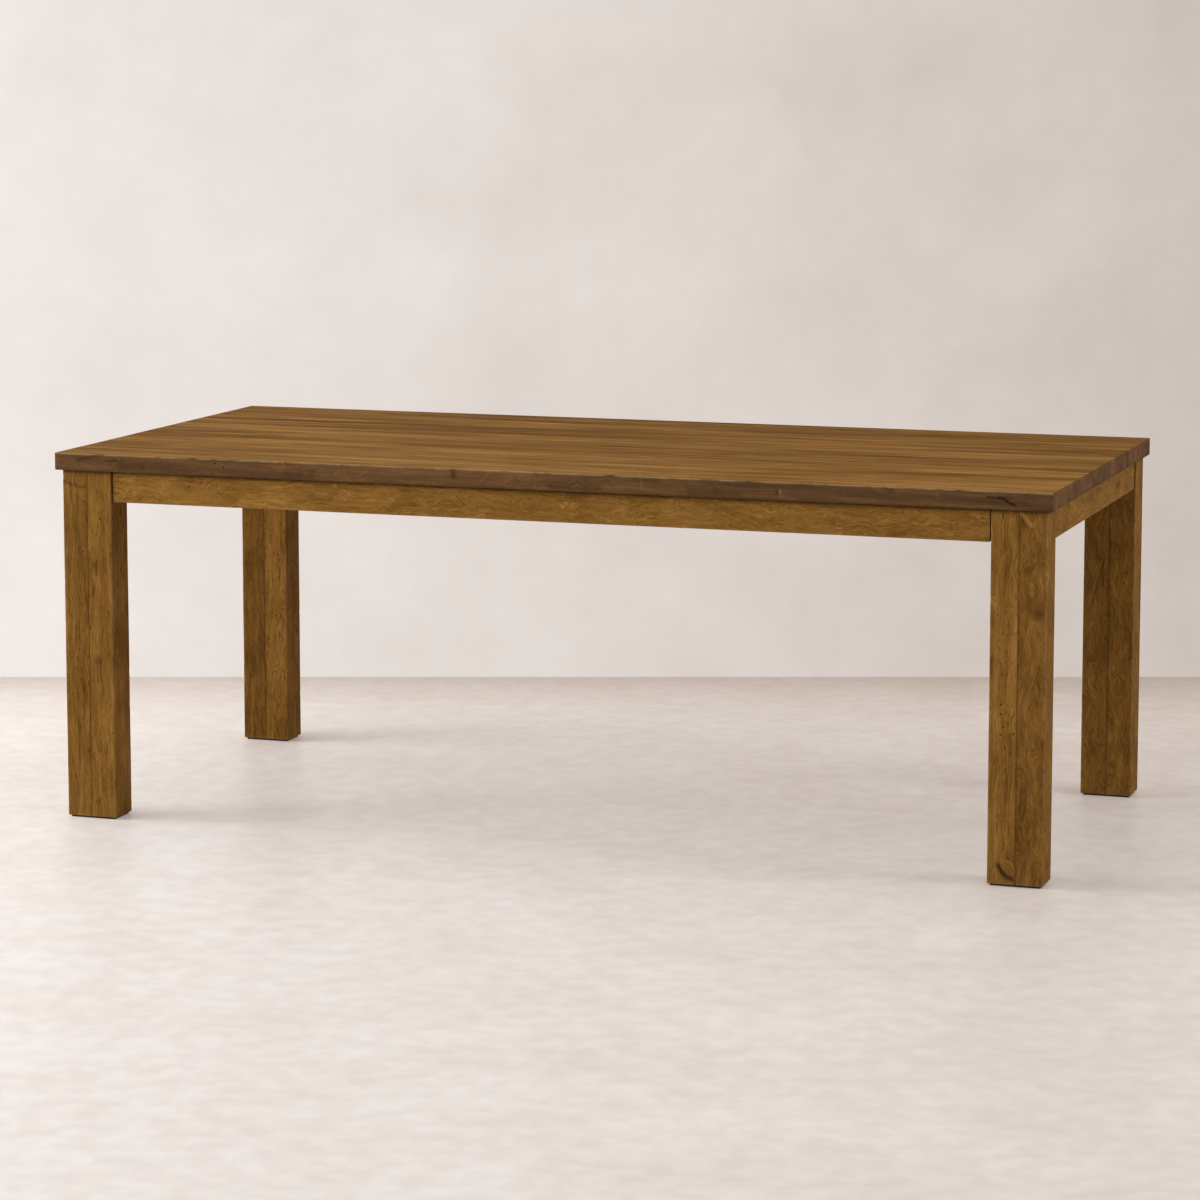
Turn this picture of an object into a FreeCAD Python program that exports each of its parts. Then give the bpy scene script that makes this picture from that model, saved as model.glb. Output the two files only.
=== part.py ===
import FreeCAD, Part
import os
import re
import Sketcher

# Parsons dining table: an edge-glued top on four two-stave block legs, joined by set-back aprons.
# Frame: millimetres, +X along the length, +Y to the rear, +Z up, origin on the floor under the middle.

SIZES = {
    # overall
    "table_height": 770,
    "top_length": 2100,
    "top_width": 1000,
    "top_thickness": 36,
    "top_overhang": 12,
    "edge_ease": 2,
    # legs and the pads under them
    "leg_width": 110,
    "leg_depth": 76,
    "leg_flat": 12,
    "pad_thickness": 4,
    "pad_inset": 5,
    # aprons and their stub tenons
    "apron_height": 65,
    "apron_thickness": 24,
    "apron_setback": 4,
    "apron_reveal": 3,
    "tenon_thickness": 10,
    "tenon_length": 30,
    "tenon_shoulder": 9,
    # dowels
    "dowel_diameter": 10,
    "dowel_length": 60,
    "dowel_chamfer": 1,
    "rail_dowel_length": 36,
    # corner braces
    "brace_thickness": 28,
    "brace_height": 45,
    "brace_lift": 8,
    "brace_gap": 3,
    "brace_seat": 10,
    "brace_screw_spacing": 22,
    # hanger bolts, washers and nuts
    "bolt_diameter": 8,
    "bolt_grip": 45,
    "bolt_point": 6,
    "bolt_spacing": 24,
    "bolt_tail": 6,
    "washer_diameter": 18,
    "washer_thickness": 2,
    "nut_width": 13,
    "nut_thickness": 6.5,
    # wood screws
    "screw_diameter": 4.5,
    "screw_point": 5,
    "screw_bite": 15,
    "screw_head_diameter": 9,
    "screw_head_height": 3,
    "screw_head_clearance": 1,
    # cross rails
    "rail_width": 40,
    "rail_height": 45,
    "rail_spacing": 700,
    "rail_seat": 20,
    # clips that hold the top, and the groove they hook into
    "clip_thickness": 2,
    "clip_width": 20,
    "clip_reach": 28,
    "clip_tongue": 8,
    "groove_height": 3,
    "groove_depth": 10,
    "groove_drop": 12,
    # clearances and cuts
    "joint_fit": 0.2,
    "cut_overrun": 2,
}

# Places and lengths that follow from the sizes above.
DERIVED = {
    "frame_x": "top_length / 2 - top_overhang",
    "frame_y": "top_width / 2 - top_overhang",
    "frame_top": "table_height - top_thickness",
    "leg_length": "frame_top - pad_thickness",
    "leg_inner_x": "frame_x - leg_width",
    "leg_inner_y": "frame_y - leg_depth",
    "apron_inner_x": "frame_x - apron_setback - apron_thickness",
    "apron_inner_y": "frame_y - apron_setback - apron_thickness",
    "apron_middle_x": "frame_x - apron_setback - apron_thickness / 2",
    "apron_middle_y": "frame_y - apron_setback - apron_thickness / 2",
    "apron_middle_z": "frame_top - apron_height / 2",
    "long_apron": "2 * (leg_inner_x - apron_reveal)",
    "short_apron": "2 * (leg_inner_y - apron_reveal)",
    "tenon_reach": "2 * (apron_reveal + tenon_length)",
    "tenon_height": "apron_height - 2 * tenon_shoulder",
    "flat_x": "leg_inner_x + leg_flat / 2",
    "flat_y": "leg_inner_y + leg_flat / 2",
    "leg_corner": "apron_inner_x - leg_inner_x + apron_inner_y - leg_inner_y",
    "brace_near": "leg_corner - leg_flat + brace_gap * sqrt(2)",
    "brace_far": "brace_near + brace_thickness * sqrt(2)",
    "brace_screw_run": "(brace_near + brace_far) / 2",
    "brace_bottom": "frame_top - apron_height + brace_lift",
    "brace_middle_z": "brace_bottom + brace_height / 2",
    "washer_run": "brace_gap + brace_thickness",
    "nut_run": "washer_run + washer_thickness",
    "bolt_stand": "nut_run + nut_thickness + bolt_tail",
    "dowel_radius": "dowel_diameter / 2",
    "bolt_radius": "bolt_diameter / 2",
    "screw_radius": "screw_diameter / 2",
    "screw_head_radius": "screw_head_diameter / 2",
    "head_bore_radius": "screw_head_radius + screw_head_clearance",
    "clip_hole": "joint_fit + (clip_thickness + clip_reach) / 2",
}

BOARD_COUNT = 8
DOWEL_SHARES = (-0.42, -0.21, 0, 0.21, 0.42)
LONG_CLIP_SHARES = (-0.36, -0.1, 0.1, 0.36)
SHORT_CLIP_SHARES = (-0.1875, 0.1875)
RAIL_SCREW_SHARES = (-0.4375, -0.1875, 0.1875, 0.4375)
CORNERS = {
    "front_left": (-1, -1),
    "front_right": (1, -1),
    "rear_right": (1, 1),
    "rear_left": (-1, 1),
}
BOARD = f"top_width / {BOARD_COUNT}"
UP = FreeCAD.Vector(0, 0, 1)

doc = FreeCAD.newDocument("parsons_dining_table")
sheet = doc.addObject("Spreadsheet::Sheet", "Sizes")
for row, (alias, value) in enumerate(SIZES.items(), 1):
    sheet.set(f"A{row}", alias)
    sheet.set(f"B{row}", str(value))
    sheet.setAlias(f"B{row}", alias)
doc.recompute()


def sized(formula):
    """Turn a formula in plain size names into an expression on the sheet."""

    def swap(match):
        word = match.group()
        if word in DERIVED:
            return f"({sized(DERIVED[word])})"
        return f"Sizes.{word}" if word in SIZES else word

    return re.sub(r"[a-z_]+", swap, formula)


def bind(item, **formulas):
    """Bind properties to formulas, with __ for the dot in a property's path."""
    for path, formula in formulas.items():
        item.setExpression(path.replace("__", "."), sized(formula))
    return item


def put(item, place, turn=None):
    """Bind an object's origin to three formulas, turned by a rotation."""
    if turn is not None:
        item.Placement = FreeCAD.Placement(FreeCAD.Vector(), turn)
    x, y, z = place
    return bind(item, Placement__Base__x=x, Placement__Base__y=y, Placement__Base__z=z)


def about_z(angle):
    """A turn about the vertical, in degrees."""
    return FreeCAD.Rotation(UP, angle)


def towards(x, y, z):
    """The turn that points an upright piece along a direction."""
    return FreeCAD.Rotation(UP, FreeCAD.Vector(x, y, z))


def low_corner(size, centre):
    """Formulas for the lowest corner of a block, from its size and centre."""
    return [f"({c}) - ({s}) / 2" for s, c in zip(size, centre)]


def block(name, size, centre):
    """A plain rectangular block about a centre."""
    item = doc.addObject("Part::Box", name)
    bind(item, Length=size[0], Width=size[1], Height=size[2])
    return put(item, low_corner(size, centre))


def rod(name, radius, start, end):
    """An upright cylinder between two heights about the origin."""
    item = doc.addObject("Part::Cylinder", name)
    bind(item, Radius=radius, Height=f"({end}) - ({start})")
    return put(item, ("0", "0", start))


def cone(name, radius, start, end):
    """An upright point that grows from nothing at one height to a radius at the next."""
    item = doc.addObject("Part::Cone", name)
    item.Radius1 = 0
    bind(item, Radius2=radius, Height=f"({end}) - ({start})")
    return put(item, ("0", "0", start))


def group(name, pieces):
    """Pieces kept as separate solids in one object."""
    item = doc.addObject("Part::Compound", name)
    item.Links = pieces
    return item


def fuse(name, pieces):
    """Pieces joined into one solid."""
    item = doc.addObject("Part::MultiFuse", name)
    item.Shapes = pieces
    item.Refine = True
    return item


def cut(name, base, tools):
    """A base with its tools cut away."""
    item = doc.addObject("Part::Cut", name)
    item.Base = base
    item.Tool = group(f"{name}_cuts", tools)
    return item


def spread(name, master, places):
    """Copies of one master piece at a list of (place, turn)."""
    copies = []
    for number, (place, turn) in enumerate(places, 1):
        copy = doc.addObject("App::Link", f"{name}_{number}")
        copy.LinkedObject = master
        copy.LinkTransform = True
        copies.append(put(copy, place, turn))
    return group(name, copies)


def eased_block(name, size, centre, eased):
    """A block whose chosen edges are rounded: eased takes an edge's side (-1, 0 or 1) along X, Y and Z."""
    body = doc.addObject("PartDesign::Body", name)
    stock = body.newObject("PartDesign::AdditiveBox", f"{name}_stock")
    bind(stock, Length=size[0], Width=size[1], Height=size[2])
    put(body, low_corner(size, centre))
    doc.recompute()
    extent = stock.Length.Value, stock.Width.Value, stock.Height.Value
    chosen = []
    for number, edge in enumerate(stock.Shape.Edges, 1):
        sides = [round(2 * c / s) - 1 for c, s in zip(edge.CenterOfMass, extent)]
        if eased(*sides):
            chosen.append(f"Edge{number}")
    rounding = body.newObject("PartDesign::Fillet", f"{name}_easing")
    rounding.Base = (stock, chosen)
    bind(rounding, Radius="edge_ease")
    return body


def screw(name, grip):
    """A round-head wood screw: its head stands on the origin, its shank runs down by its grip and bite."""
    tip = f"-({grip}) - screw_bite"
    head = rod(f"{name}_head", "screw_head_radius", "0", "screw_head_height")
    shank = rod(f"{name}_shank", "screw_radius", f"{tip} + screw_point", "0")
    point = cone(f"{name}_point", "screw_radius", tip, f"{tip} + screw_point")
    return fuse(name, [head, shank, point])


def screw_bore(name, grip):
    """The hole for such a screw's shank."""
    return rod(name, "screw_radius + joint_fit", f"-({grip}) - screw_bite - joint_fit", "cut_overrun")


def dowel(name, length):
    """A chamfered dowel, centred on the origin."""
    body = doc.addObject("PartDesign::Body", name)
    stock = body.newObject("PartDesign::AdditiveCylinder", f"{name}_stock")
    bind(stock, Radius="dowel_radius", Height=length)
    doc.recompute()
    chamfer = body.newObject("PartDesign::Chamfer", f"{name}_ends")
    rims = [f"Edge{n}" for n, edge in enumerate(stock.Shape.Edges, 1) if edge.isClosed()]
    chamfer.Base = (stock, rims)
    bind(chamfer, Size="dowel_chamfer")
    return put(body, ("0", "0", f"-({length}) / 2"))


def dowel_bore(name, length):
    """The hole for a dowel, half of it in each of the two pieces that meet at the origin."""
    half = f"({length}) / 2 + joint_fit"
    return rod(name, "dowel_radius + joint_fit", f"-({half})", half)


# Dowels in the seams of the top: each lies along Y, half in each board.
top_dowel = dowel("top_dowel", "dowel_length")
top_dowel_bore = dowel_bore("top_dowel_bore", "dowel_length")
seams = {}
for seam in range(1, BOARD_COUNT):
    across = f"{BOARD} * {seam - BOARD_COUNT / 2}"
    middle = "table_height - top_thickness / 2"
    seams[seam] = [((f"top_length * {share}", across, middle), towards(0, 1, 0)) for share in DOWEL_SHARES]
top_dowels = spread("top_dowels", top_dowel, [place for row in seams.values() for place in row])
seam_bores = {seam: spread(f"seam_{seam}_bores", top_dowel_bore, row) for seam, row in seams.items()}

# Clips: a tongue in the apron's groove, a riser up its inner face and a flange under the top.
flange_size = ("clip_reach", "clip_width", "clip_thickness")
flange = block("clip_flange", flange_size, ("joint_fit + clip_reach / 2", "0", "-clip_thickness / 2"))
riser_size = ("clip_thickness", "clip_width", "groove_drop + clip_thickness")
riser_middle = ("joint_fit + clip_thickness / 2", "0", "-(groove_drop + clip_thickness) / 2")
riser = block("clip_riser", riser_size, riser_middle)
tongue_size = ("clip_tongue + joint_fit + clip_thickness", "clip_width", "clip_thickness")
tongue_middle = ("(joint_fit + clip_thickness - clip_tongue) / 2", "0", "-groove_drop - clip_thickness / 2")
tongue = block("clip_tongue", tongue_size, tongue_middle)
clip_bend = fuse("clip_bend", [flange, riser, tongue])
clip_bore = rod("clip_bore", "screw_radius + joint_fit", "-clip_thickness - cut_overrun", "cut_overrun")
put(clip_bore, ("clip_hole", "0", "-clip_thickness - cut_overrun"))
top_clip = cut("top_clip", clip_bend, [clip_bore])
clip_screw = screw("clip_screw", "clip_thickness")
clip_screw_bore = screw_bore("clip_screw_bore", "clip_thickness")

clip_places = []
clip_screw_places = []
for side in (-1, 1):
    for share in LONG_CLIP_SHARES:
        along = f"top_length * {share}"
        clip_places.append(((along, f"{side} * apron_inner_y", "frame_top"), about_z(-side * 90)))
        hole = f"{side} * (apron_inner_y - clip_hole)"
        clip_screw_places.append(((along, hole, "frame_top - clip_thickness"), towards(0, 0, -1)))
    for share in SHORT_CLIP_SHARES:
        across = f"top_width * {share}"
        clip_places.append(((f"{side} * apron_inner_x", across, "frame_top"), about_z(90 + side * 90)))
        hole = f"{side} * (apron_inner_x - clip_hole)"
        clip_screw_places.append(((hole, across, "frame_top - clip_thickness"), towards(0, 0, -1)))
top_clips = spread("top_clips", top_clip, clip_places)
clip_screws = spread("clip_screws", clip_screw, clip_screw_places)
clip_screw_bores = spread("clip_screw_bores", clip_screw_bore, clip_screw_places)

# Rails across the frame: dowelled into the long aprons, and screwed up into the top from deep holes.
rail_dowel = dowel("rail_dowel", "rail_dowel_length")
rail_dowel_bore = dowel_bore("rail_dowel_bore", "rail_dowel_length")
rail_screw = screw("rail_screw", "rail_seat")
rail_screw_bore = screw_bore("rail_screw_bore", "rail_seat")
rail_head_bore = rod("rail_head_bore", "head_bore_radius", "0", "rail_height - rail_seat + cut_overrun")
rail_middle_z = "frame_top - rail_height / 2"
rail_dowel_places = []
rail_screw_places = []
for side in (-1, 1):
    rail_x = f"{side} * rail_spacing / 2"
    for end in (-1, 1):
        for half in (-1, 1):
            place = (f"{rail_x} + {half} * rail_width / 4", f"{end} * apron_inner_y", rail_middle_z)
            rail_dowel_places.append((place, towards(0, 1, 0)))
    for share in RAIL_SCREW_SHARES:
        place = (rail_x, f"2 * apron_inner_y * {share}", "frame_top - rail_seat")
        rail_screw_places.append((place, towards(0, 0, -1)))
rail_dowels = spread("rail_dowels", rail_dowel, rail_dowel_places)
rail_dowel_bores = spread("rail_dowel_bores", rail_dowel_bore, rail_dowel_places)
rail_screws = spread("rail_screws", rail_screw, rail_screw_places)
rail_screw_bores = spread("rail_screw_bores", rail_screw_bore, rail_screw_places)
rail_head_bores = spread("rail_head_bores", rail_head_bore, rail_screw_places)
rails = []
for side, name in ((-1, "cross_rail_left"), (1, "cross_rail_right")):
    size = ("rail_width", "2 * apron_inner_y", "rail_height")
    stock = block(f"{name}_stock", size, (f"{side} * rail_spacing / 2", "0", rail_middle_z))
    rails.append(cut(name, stock, [rail_dowel_bores, rail_screw_bores, rail_head_bores]))

# Boards of the top: eased on the outer edges of the whole top, plain where they are glued.
boards = []
for number in range(1, BOARD_COUNT + 1):
    size = ("top_length", BOARD, "top_thickness")
    centre = ("0", f"{BOARD} * {number - (BOARD_COUNT + 1) / 2}", "table_height - top_thickness / 2")
    outer = {1: -1, BOARD_COUNT: 1}.get(number)

    def eased(x, y, z, outer=outer):
        if y == outer:
            return True
        return x != 0 and z != 0

    blank = eased_block(f"top_board_{number}_blank", size, centre, eased)
    bores = [seam_bores[seam] for seam in (number - 1, number) if seam in seam_bores]
    boards.append(cut(f"top_board_{number}", blank, bores + [clip_screw_bores, rail_screw_bores]))

# Corner braces: a trapezoid across each corner of the frame, with both ends flat on the aprons.
brace_screw = screw("brace_screw", "brace_seat")
brace_screw_bore = screw_bore("brace_screw_bore", "brace_seat")
brace_head_bore = rod("brace_head_bore", "head_bore_radius", "0", "brace_far")
brace_screw_places = []
for turn_x, turn_y in CORNERS.values():
    ends = (
        ("brace_screw_run", "brace_seat", towards(0, -turn_y, 0)),
        ("brace_seat", "brace_screw_run", towards(-turn_x, 0, 0)),
    )
    for level in (-1, 1):
        z = f"brace_middle_z + {level} * brace_screw_spacing / 2"
        for run_x, run_y, turn in ends:
            place = (f"{turn_x} * (apron_inner_x - {run_x})", f"{turn_y} * (apron_inner_y - {run_y})", z)
            brace_screw_places.append((place, turn))
brace_screws = spread("brace_screws", brace_screw, brace_screw_places)
brace_screw_bores = spread("brace_screw_bores", brace_screw_bore, brace_screw_places)
brace_head_bores = spread("brace_head_bores", brace_head_bore, brace_screw_places)

# Hanger bolts: from a flat on the leg's inner edge, through the brace, to a washer and a nut.
bolt_tip = "-bolt_grip"
bolt_shank = rod("hanger_bolt_shank", "bolt_radius", f"{bolt_tip} + bolt_point", "bolt_stand")
bolt_cone = cone("hanger_bolt_point", "bolt_radius", bolt_tip, f"{bolt_tip} + bolt_point")
hanger_bolt = fuse("hanger_bolt", [bolt_shank, bolt_cone])
hanger_bore = rod("hanger_bore", "bolt_radius + joint_fit", "-bolt_grip - joint_fit", "bolt_stand")
washer_disc = rod("washer_disc", "washer_diameter / 2", "washer_run", "nut_run")
hanger_washer = cut("hanger_washer", washer_disc, [hanger_bore])
nut_hexagon = doc.addObject("Part::Prism", "nut_hexagon")
nut_hexagon.Polygon = 6
bind(nut_hexagon, Circumradius="nut_width / sqrt(3)", Height="nut_thickness")
put(nut_hexagon, ("0", "0", "nut_run"))
hanger_nut = cut("hanger_nut", nut_hexagon, [hanger_bore])
hanger_places = []
for turn_x, turn_y in CORNERS.values():
    for level in (-1, 1):
        z = f"brace_middle_z + {level} * bolt_spacing / 2"
        place = (f"{turn_x} * flat_x", f"{turn_y} * flat_y", z)
        hanger_places.append((place, towards(-turn_x, -turn_y, 0)))
hanger_bolts = spread("hanger_bolts", hanger_bolt, hanger_places)
hanger_washers = spread("hanger_washers", hanger_washer, hanger_places)
hanger_nuts = spread("hanger_nuts", hanger_nut, hanger_places)
hanger_bores = spread("hanger_bores", hanger_bore, hanger_places)


def brace_stock(name, turn_x, turn_y, angle):
    """A trapezoid between two 45-degree lines that meet the two aprons, raised to the brace's height."""
    body = doc.addObject("PartDesign::Body", name)
    sketch = body.newObject("Sketcher::SketchObject", f"{name}_outline")
    plane = [feature for feature in body.Origin.OriginFeatures if feature.Role == "XY_Plane"][0]
    sketch.AttachmentSupport = [(plane, "")]
    sketch.MapMode = "FlatFace"
    near, far = [sheet.evalExpression(sized(reach)) for reach in ("brace_near", "brace_far")]
    points = [FreeCAD.Vector(*point) for point in ((near, 0), (far, 0), (0, far), (0, near))]
    for number in range(4):
        sketch.addGeometry(Part.LineSegment(points[number], points[(number + 1) % 4]))
    for number in range(4):
        sketch.addConstraint(Sketcher.Constraint("Coincident", number, 2, (number + 1) % 4, 1))
    corners = (("near_x", 0, "X"), ("far_x", 1, "X"), ("far_y", 2, "Y"), ("near_y", 3, "Y"))
    for title, line, axis in corners:
        sketch.addConstraint(Sketcher.Constraint("PointOnObject", line, 1, -1 if axis == "X" else -2))
        length = points[line].Length
        number = sketch.addConstraint(Sketcher.Constraint(f"Distance{axis}", -1, 1, line, 1, length))
        sketch.renameConstraint(number, title)
        sketch.setExpression(f"Constraints.{title}", sized(f"brace_{title[:-2]}"))
    pad = body.newObject("PartDesign::Pad", f"{name}_height")
    pad.Profile = sketch
    bind(pad, Length="brace_height")
    corner = (f"{turn_x} * apron_inner_x", f"{turn_y} * apron_inner_y", "brace_bottom")
    return put(body, corner, about_z(angle))


braces = []
for number, (corner, (turn_x, turn_y)) in enumerate(CORNERS.items()):
    stock = brace_stock(f"brace_{corner}_stock", turn_x, turn_y, number * 90)
    braces.append(cut(f"corner_brace_{corner}", stock, [brace_screw_bores, brace_head_bores, hanger_bores]))

# Aprons: a rail with a tenon bar through its middle, grooved inside for the clips.
def apron(name, side, lengthwise):
    """An apron on one side of the frame, along X where lengthwise and along Y otherwise, and its mortises."""

    def laid(along, across, height):
        return (along, across, height) if lengthwise else (across, along, height)

    def eased(x, y, z):
        return z < 0 and (y if lengthwise else x) != 0

    run = "long_apron" if lengthwise else "short_apron"
    middle = "apron_middle_y" if lengthwise else "apron_middle_x"
    inner = "apron_inner_y" if lengthwise else "apron_inner_x"
    centre = laid("0", f"{side} * {middle}", "apron_middle_z")
    rail = eased_block(f"{name}_rail", laid(run, "apron_thickness", "apron_height"), centre, eased)
    tenon_size = laid(f"{run} + tenon_reach", "tenon_thickness", "tenon_height")
    tenons = block(f"{name}_tenons", tenon_size, centre)
    mortises = block(f"{name}_mortises", [f"{length} + 2 * joint_fit" for length in tenon_size], centre)
    groove_size = laid(f"{run} + 2 * cut_overrun", "groove_depth + cut_overrun", "groove_height")
    groove_across = f"{side} * ({inner} + (groove_depth - cut_overrun) / 2)"
    groove_middle = laid("0", groove_across, "frame_top - groove_drop - groove_height / 2")
    groove = block(f"{name}_groove", groove_size, groove_middle)
    whole = fuse(f"{name}_blank", [rail, tenons])
    return cut(name, whole, [groove, rail_dowel_bores, brace_screw_bores]), mortises


front_apron, front_mortises = apron("front_apron", -1, True)
rear_apron, rear_mortises = apron("rear_apron", 1, True)
left_apron, left_mortises = apron("left_apron", -1, False)
right_apron, right_mortises = apron("right_apron", 1, False)
aprons = [front_apron, rear_apron, left_apron, right_apron]

# Legs: an outer and an inner stave, glued face to face, and a pad under both.
def stave_blank(name, turn_x, turn_y, quarter, free_side):
    """Half of a leg, centred some quarters of its width in; its glued side and its top stay sharp."""

    def eased(x, y, z):
        if x == -free_side or z > 0:
            return False
        return z < 0 or x == free_side

    centre = (
        f"{turn_x} * (frame_x - {quarter} * leg_width / 4)",
        f"{turn_y} * (frame_y - leg_depth / 2)",
        "pad_thickness + leg_length / 2",
    )
    return eased_block(f"{name}_blank", ("leg_width / 2", "leg_depth", "leg_length"), centre, eased)


def bolt_flat(name, turn_x, turn_y):
    """The cut that flattens a leg's inner edge behind the aprons, for its hanger bolts."""
    item = doc.addObject("Part::Box", name)
    bind(item, Length="leg_flat", Width="2 * leg_flat", Height="apron_height + cut_overrun")
    start = (
        f"{turn_x} * flat_x - {turn_y} * leg_flat / sqrt(2)",
        f"{turn_y} * flat_y + {turn_x} * leg_flat / sqrt(2)",
        "frame_top - apron_height",
    )
    inwards = FreeCAD.Vector(-turn_x, -turn_y, 0)
    return put(item, start, FreeCAD.Rotation(FreeCAD.Vector(1, 0, 0), inwards))


staves = []
pads = []
for corner, (turn_x, turn_y) in CORNERS.items():
    outer = f"leg_{corner}_outer_stave"
    outer_blank = stave_blank(outer, turn_x, turn_y, 1, turn_x)
    short_mortises = right_mortises if turn_x > 0 else left_mortises
    staves.append(cut(outer, outer_blank, [short_mortises]))
    inner = f"leg_{corner}_inner_stave"
    inner_blank = stave_blank(inner, turn_x, turn_y, 3, -turn_x)
    long_mortises = rear_mortises if turn_y > 0 else front_mortises
    flat = bolt_flat(f"{inner}_flat", turn_x, turn_y)
    staves.append(cut(inner, inner_blank, [long_mortises, flat, hanger_bores]))
    pad_size = ("leg_width - 2 * pad_inset", "leg_depth - 2 * pad_inset", "pad_thickness")
    pad_centre = (
        f"{turn_x} * (frame_x - leg_width / 2)",
        f"{turn_y} * (frame_y - leg_depth / 2)",
        "pad_thickness / 2",
    )
    pads.append(eased_block(f"foot_pad_{corner}", pad_size, pad_centre, lambda x, y, z: z == 0))

doc.recompute()
hardware = [hanger_bolts, hanger_washers, hanger_nuts, brace_screws, top_clips, clip_screws, rail_screws]
nodes = boards + [top_dowels] + staves + pads + aprons + braces + rails + [rail_dowels] + hardware
failed = [item.Name for item in doc.Objects if {"Invalid", "Error"} & set(item.State)]
failed += [item.Label for item in nodes if item.Shape.isNull() or not item.Shape.isValid()]
if failed:
    raise RuntimeError(f"these objects failed: {failed}")
os.makedirs("parts", exist_ok=True)
for item in nodes:
    item.Shape.exportStep(f"parts/{item.Label}.step")
    print(f"{item.Label}: {len(item.Shape.Solids)} solids, {item.Shape.Volume:.0f} cubic mm")
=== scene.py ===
# %% [markdown]
# # A parsons dining table in stained wood
# The table is a thick top on four block legs, with slim aprons between the legs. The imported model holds
# every piece at its real size. This lesson dresses it: each board, stave and apron is made again as a
# fine surface with eased edges, and one wood finish runs through them all. Lengths are in metres unless a
# name says millimetres.

# %% Load the table
from math import atan, cos, pi, radians, sin, tan

import bpy
import numpy as np
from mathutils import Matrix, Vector


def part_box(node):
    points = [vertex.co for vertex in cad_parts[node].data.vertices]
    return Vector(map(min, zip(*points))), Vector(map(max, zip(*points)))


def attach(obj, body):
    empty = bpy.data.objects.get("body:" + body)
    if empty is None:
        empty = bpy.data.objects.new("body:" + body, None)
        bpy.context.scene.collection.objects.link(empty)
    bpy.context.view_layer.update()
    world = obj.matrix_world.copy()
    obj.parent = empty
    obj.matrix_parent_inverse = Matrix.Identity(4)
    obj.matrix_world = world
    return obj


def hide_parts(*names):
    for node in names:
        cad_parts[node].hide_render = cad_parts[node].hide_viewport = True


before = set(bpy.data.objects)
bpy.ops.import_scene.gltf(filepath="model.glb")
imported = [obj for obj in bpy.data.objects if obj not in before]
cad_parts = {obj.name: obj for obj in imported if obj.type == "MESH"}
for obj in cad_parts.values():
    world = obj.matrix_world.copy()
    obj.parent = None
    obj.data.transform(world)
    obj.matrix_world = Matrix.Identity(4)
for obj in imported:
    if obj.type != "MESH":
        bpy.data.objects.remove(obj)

MM = 0.001
X_AXIS, Y_AXIS, Z_AXIS = 0, 1, 2
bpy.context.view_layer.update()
print("pieces in the frame:", len(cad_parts))

# %% [markdown]
# ## A bar of wood as a surface
# Boards, staves, rails and pads are all bars: one section, carried along the grain, with the ends
# trimmed. A cube with a bevel would give the shape, but not the even net of faces that the knots, nicks
# and grain marks need. So the bar is worked out as a grid: one parameter runs round the section, the
# other along the grain. The section is described by (a, b), and (along, a, b) always turn the same way
# round as (x, y, z).

# %% Stations along the grain and points round the section
EASE_STEPS = 4
HAIR = 0.05 * MM
BESIDE_ARRIS = 0.6 * MM
FIRST_CORNER = 1.25 * pi


def stations(length, step, ease, extra=()):
    """Distances from one end: even steps, closer steps over eased ends, and the extra ones asked for."""
    even = np.linspace(ease, length - ease, max(2, round(length / step)))
    bend = ease * (1 - np.cos(np.linspace(0, pi / 2, EASE_STEPS + 1)))
    asked = np.asarray(extra, float)
    asked = asked[(asked > ease) & (asked < length - ease)]
    return np.unique(np.round(np.concatenate([bend, even, length - bend, asked]), 6))


def outline(sides, step, extra):
    """The points round a section, from the middle of one corner's arc to the middle of the next.

    Gives each point's corner, its angle on that corner's arc and its share of the way to the next arc,
    which is 0 on an arc. It also gives the number of the first point of each side. A side is given by its
    length and the radius at either end, and opposite sides share their points.
    """
    turn = np.linspace(0, pi / 4, EASE_STEPS // 2 + 1)
    corner, angle, share, starts = [], [], [], []
    for side in range(4):
        length, begin, finish = sides[side % 2]
        run = length - begin - finish
        even = np.linspace(0, 1, max(2, round(length / step)) + 1)[1:-1]
        close = BESIDE_ARRIS / run
        asked = (np.asarray(extra[side % 2], float) - begin) / run
        asked = asked[(asked > close / 2) & (asked < 1 - close / 2)]
        between = np.unique(np.round(np.concatenate([even, [close, 1 - close], asked]), 5))
        if side > 1:
            between = 1 - between[::-1]
        start = FIRST_CORNER + side * pi / 2
        starts.append(sum(len(part) for part in corner))
        corner.append(np.repeat([side, (side + 1) % 4], [len(turn) + len(between), len(turn) - 1]))
        level = np.full(len(between), start + pi / 4)
        angle.append(np.concatenate([start + turn, level, start + pi / 4 + turn[:-1]]))
        share.append(np.concatenate([0 * turn, between, 0 * turn[:-1]]))
    return np.concatenate(corner), np.concatenate(angle), np.concatenate(share), starts


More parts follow.
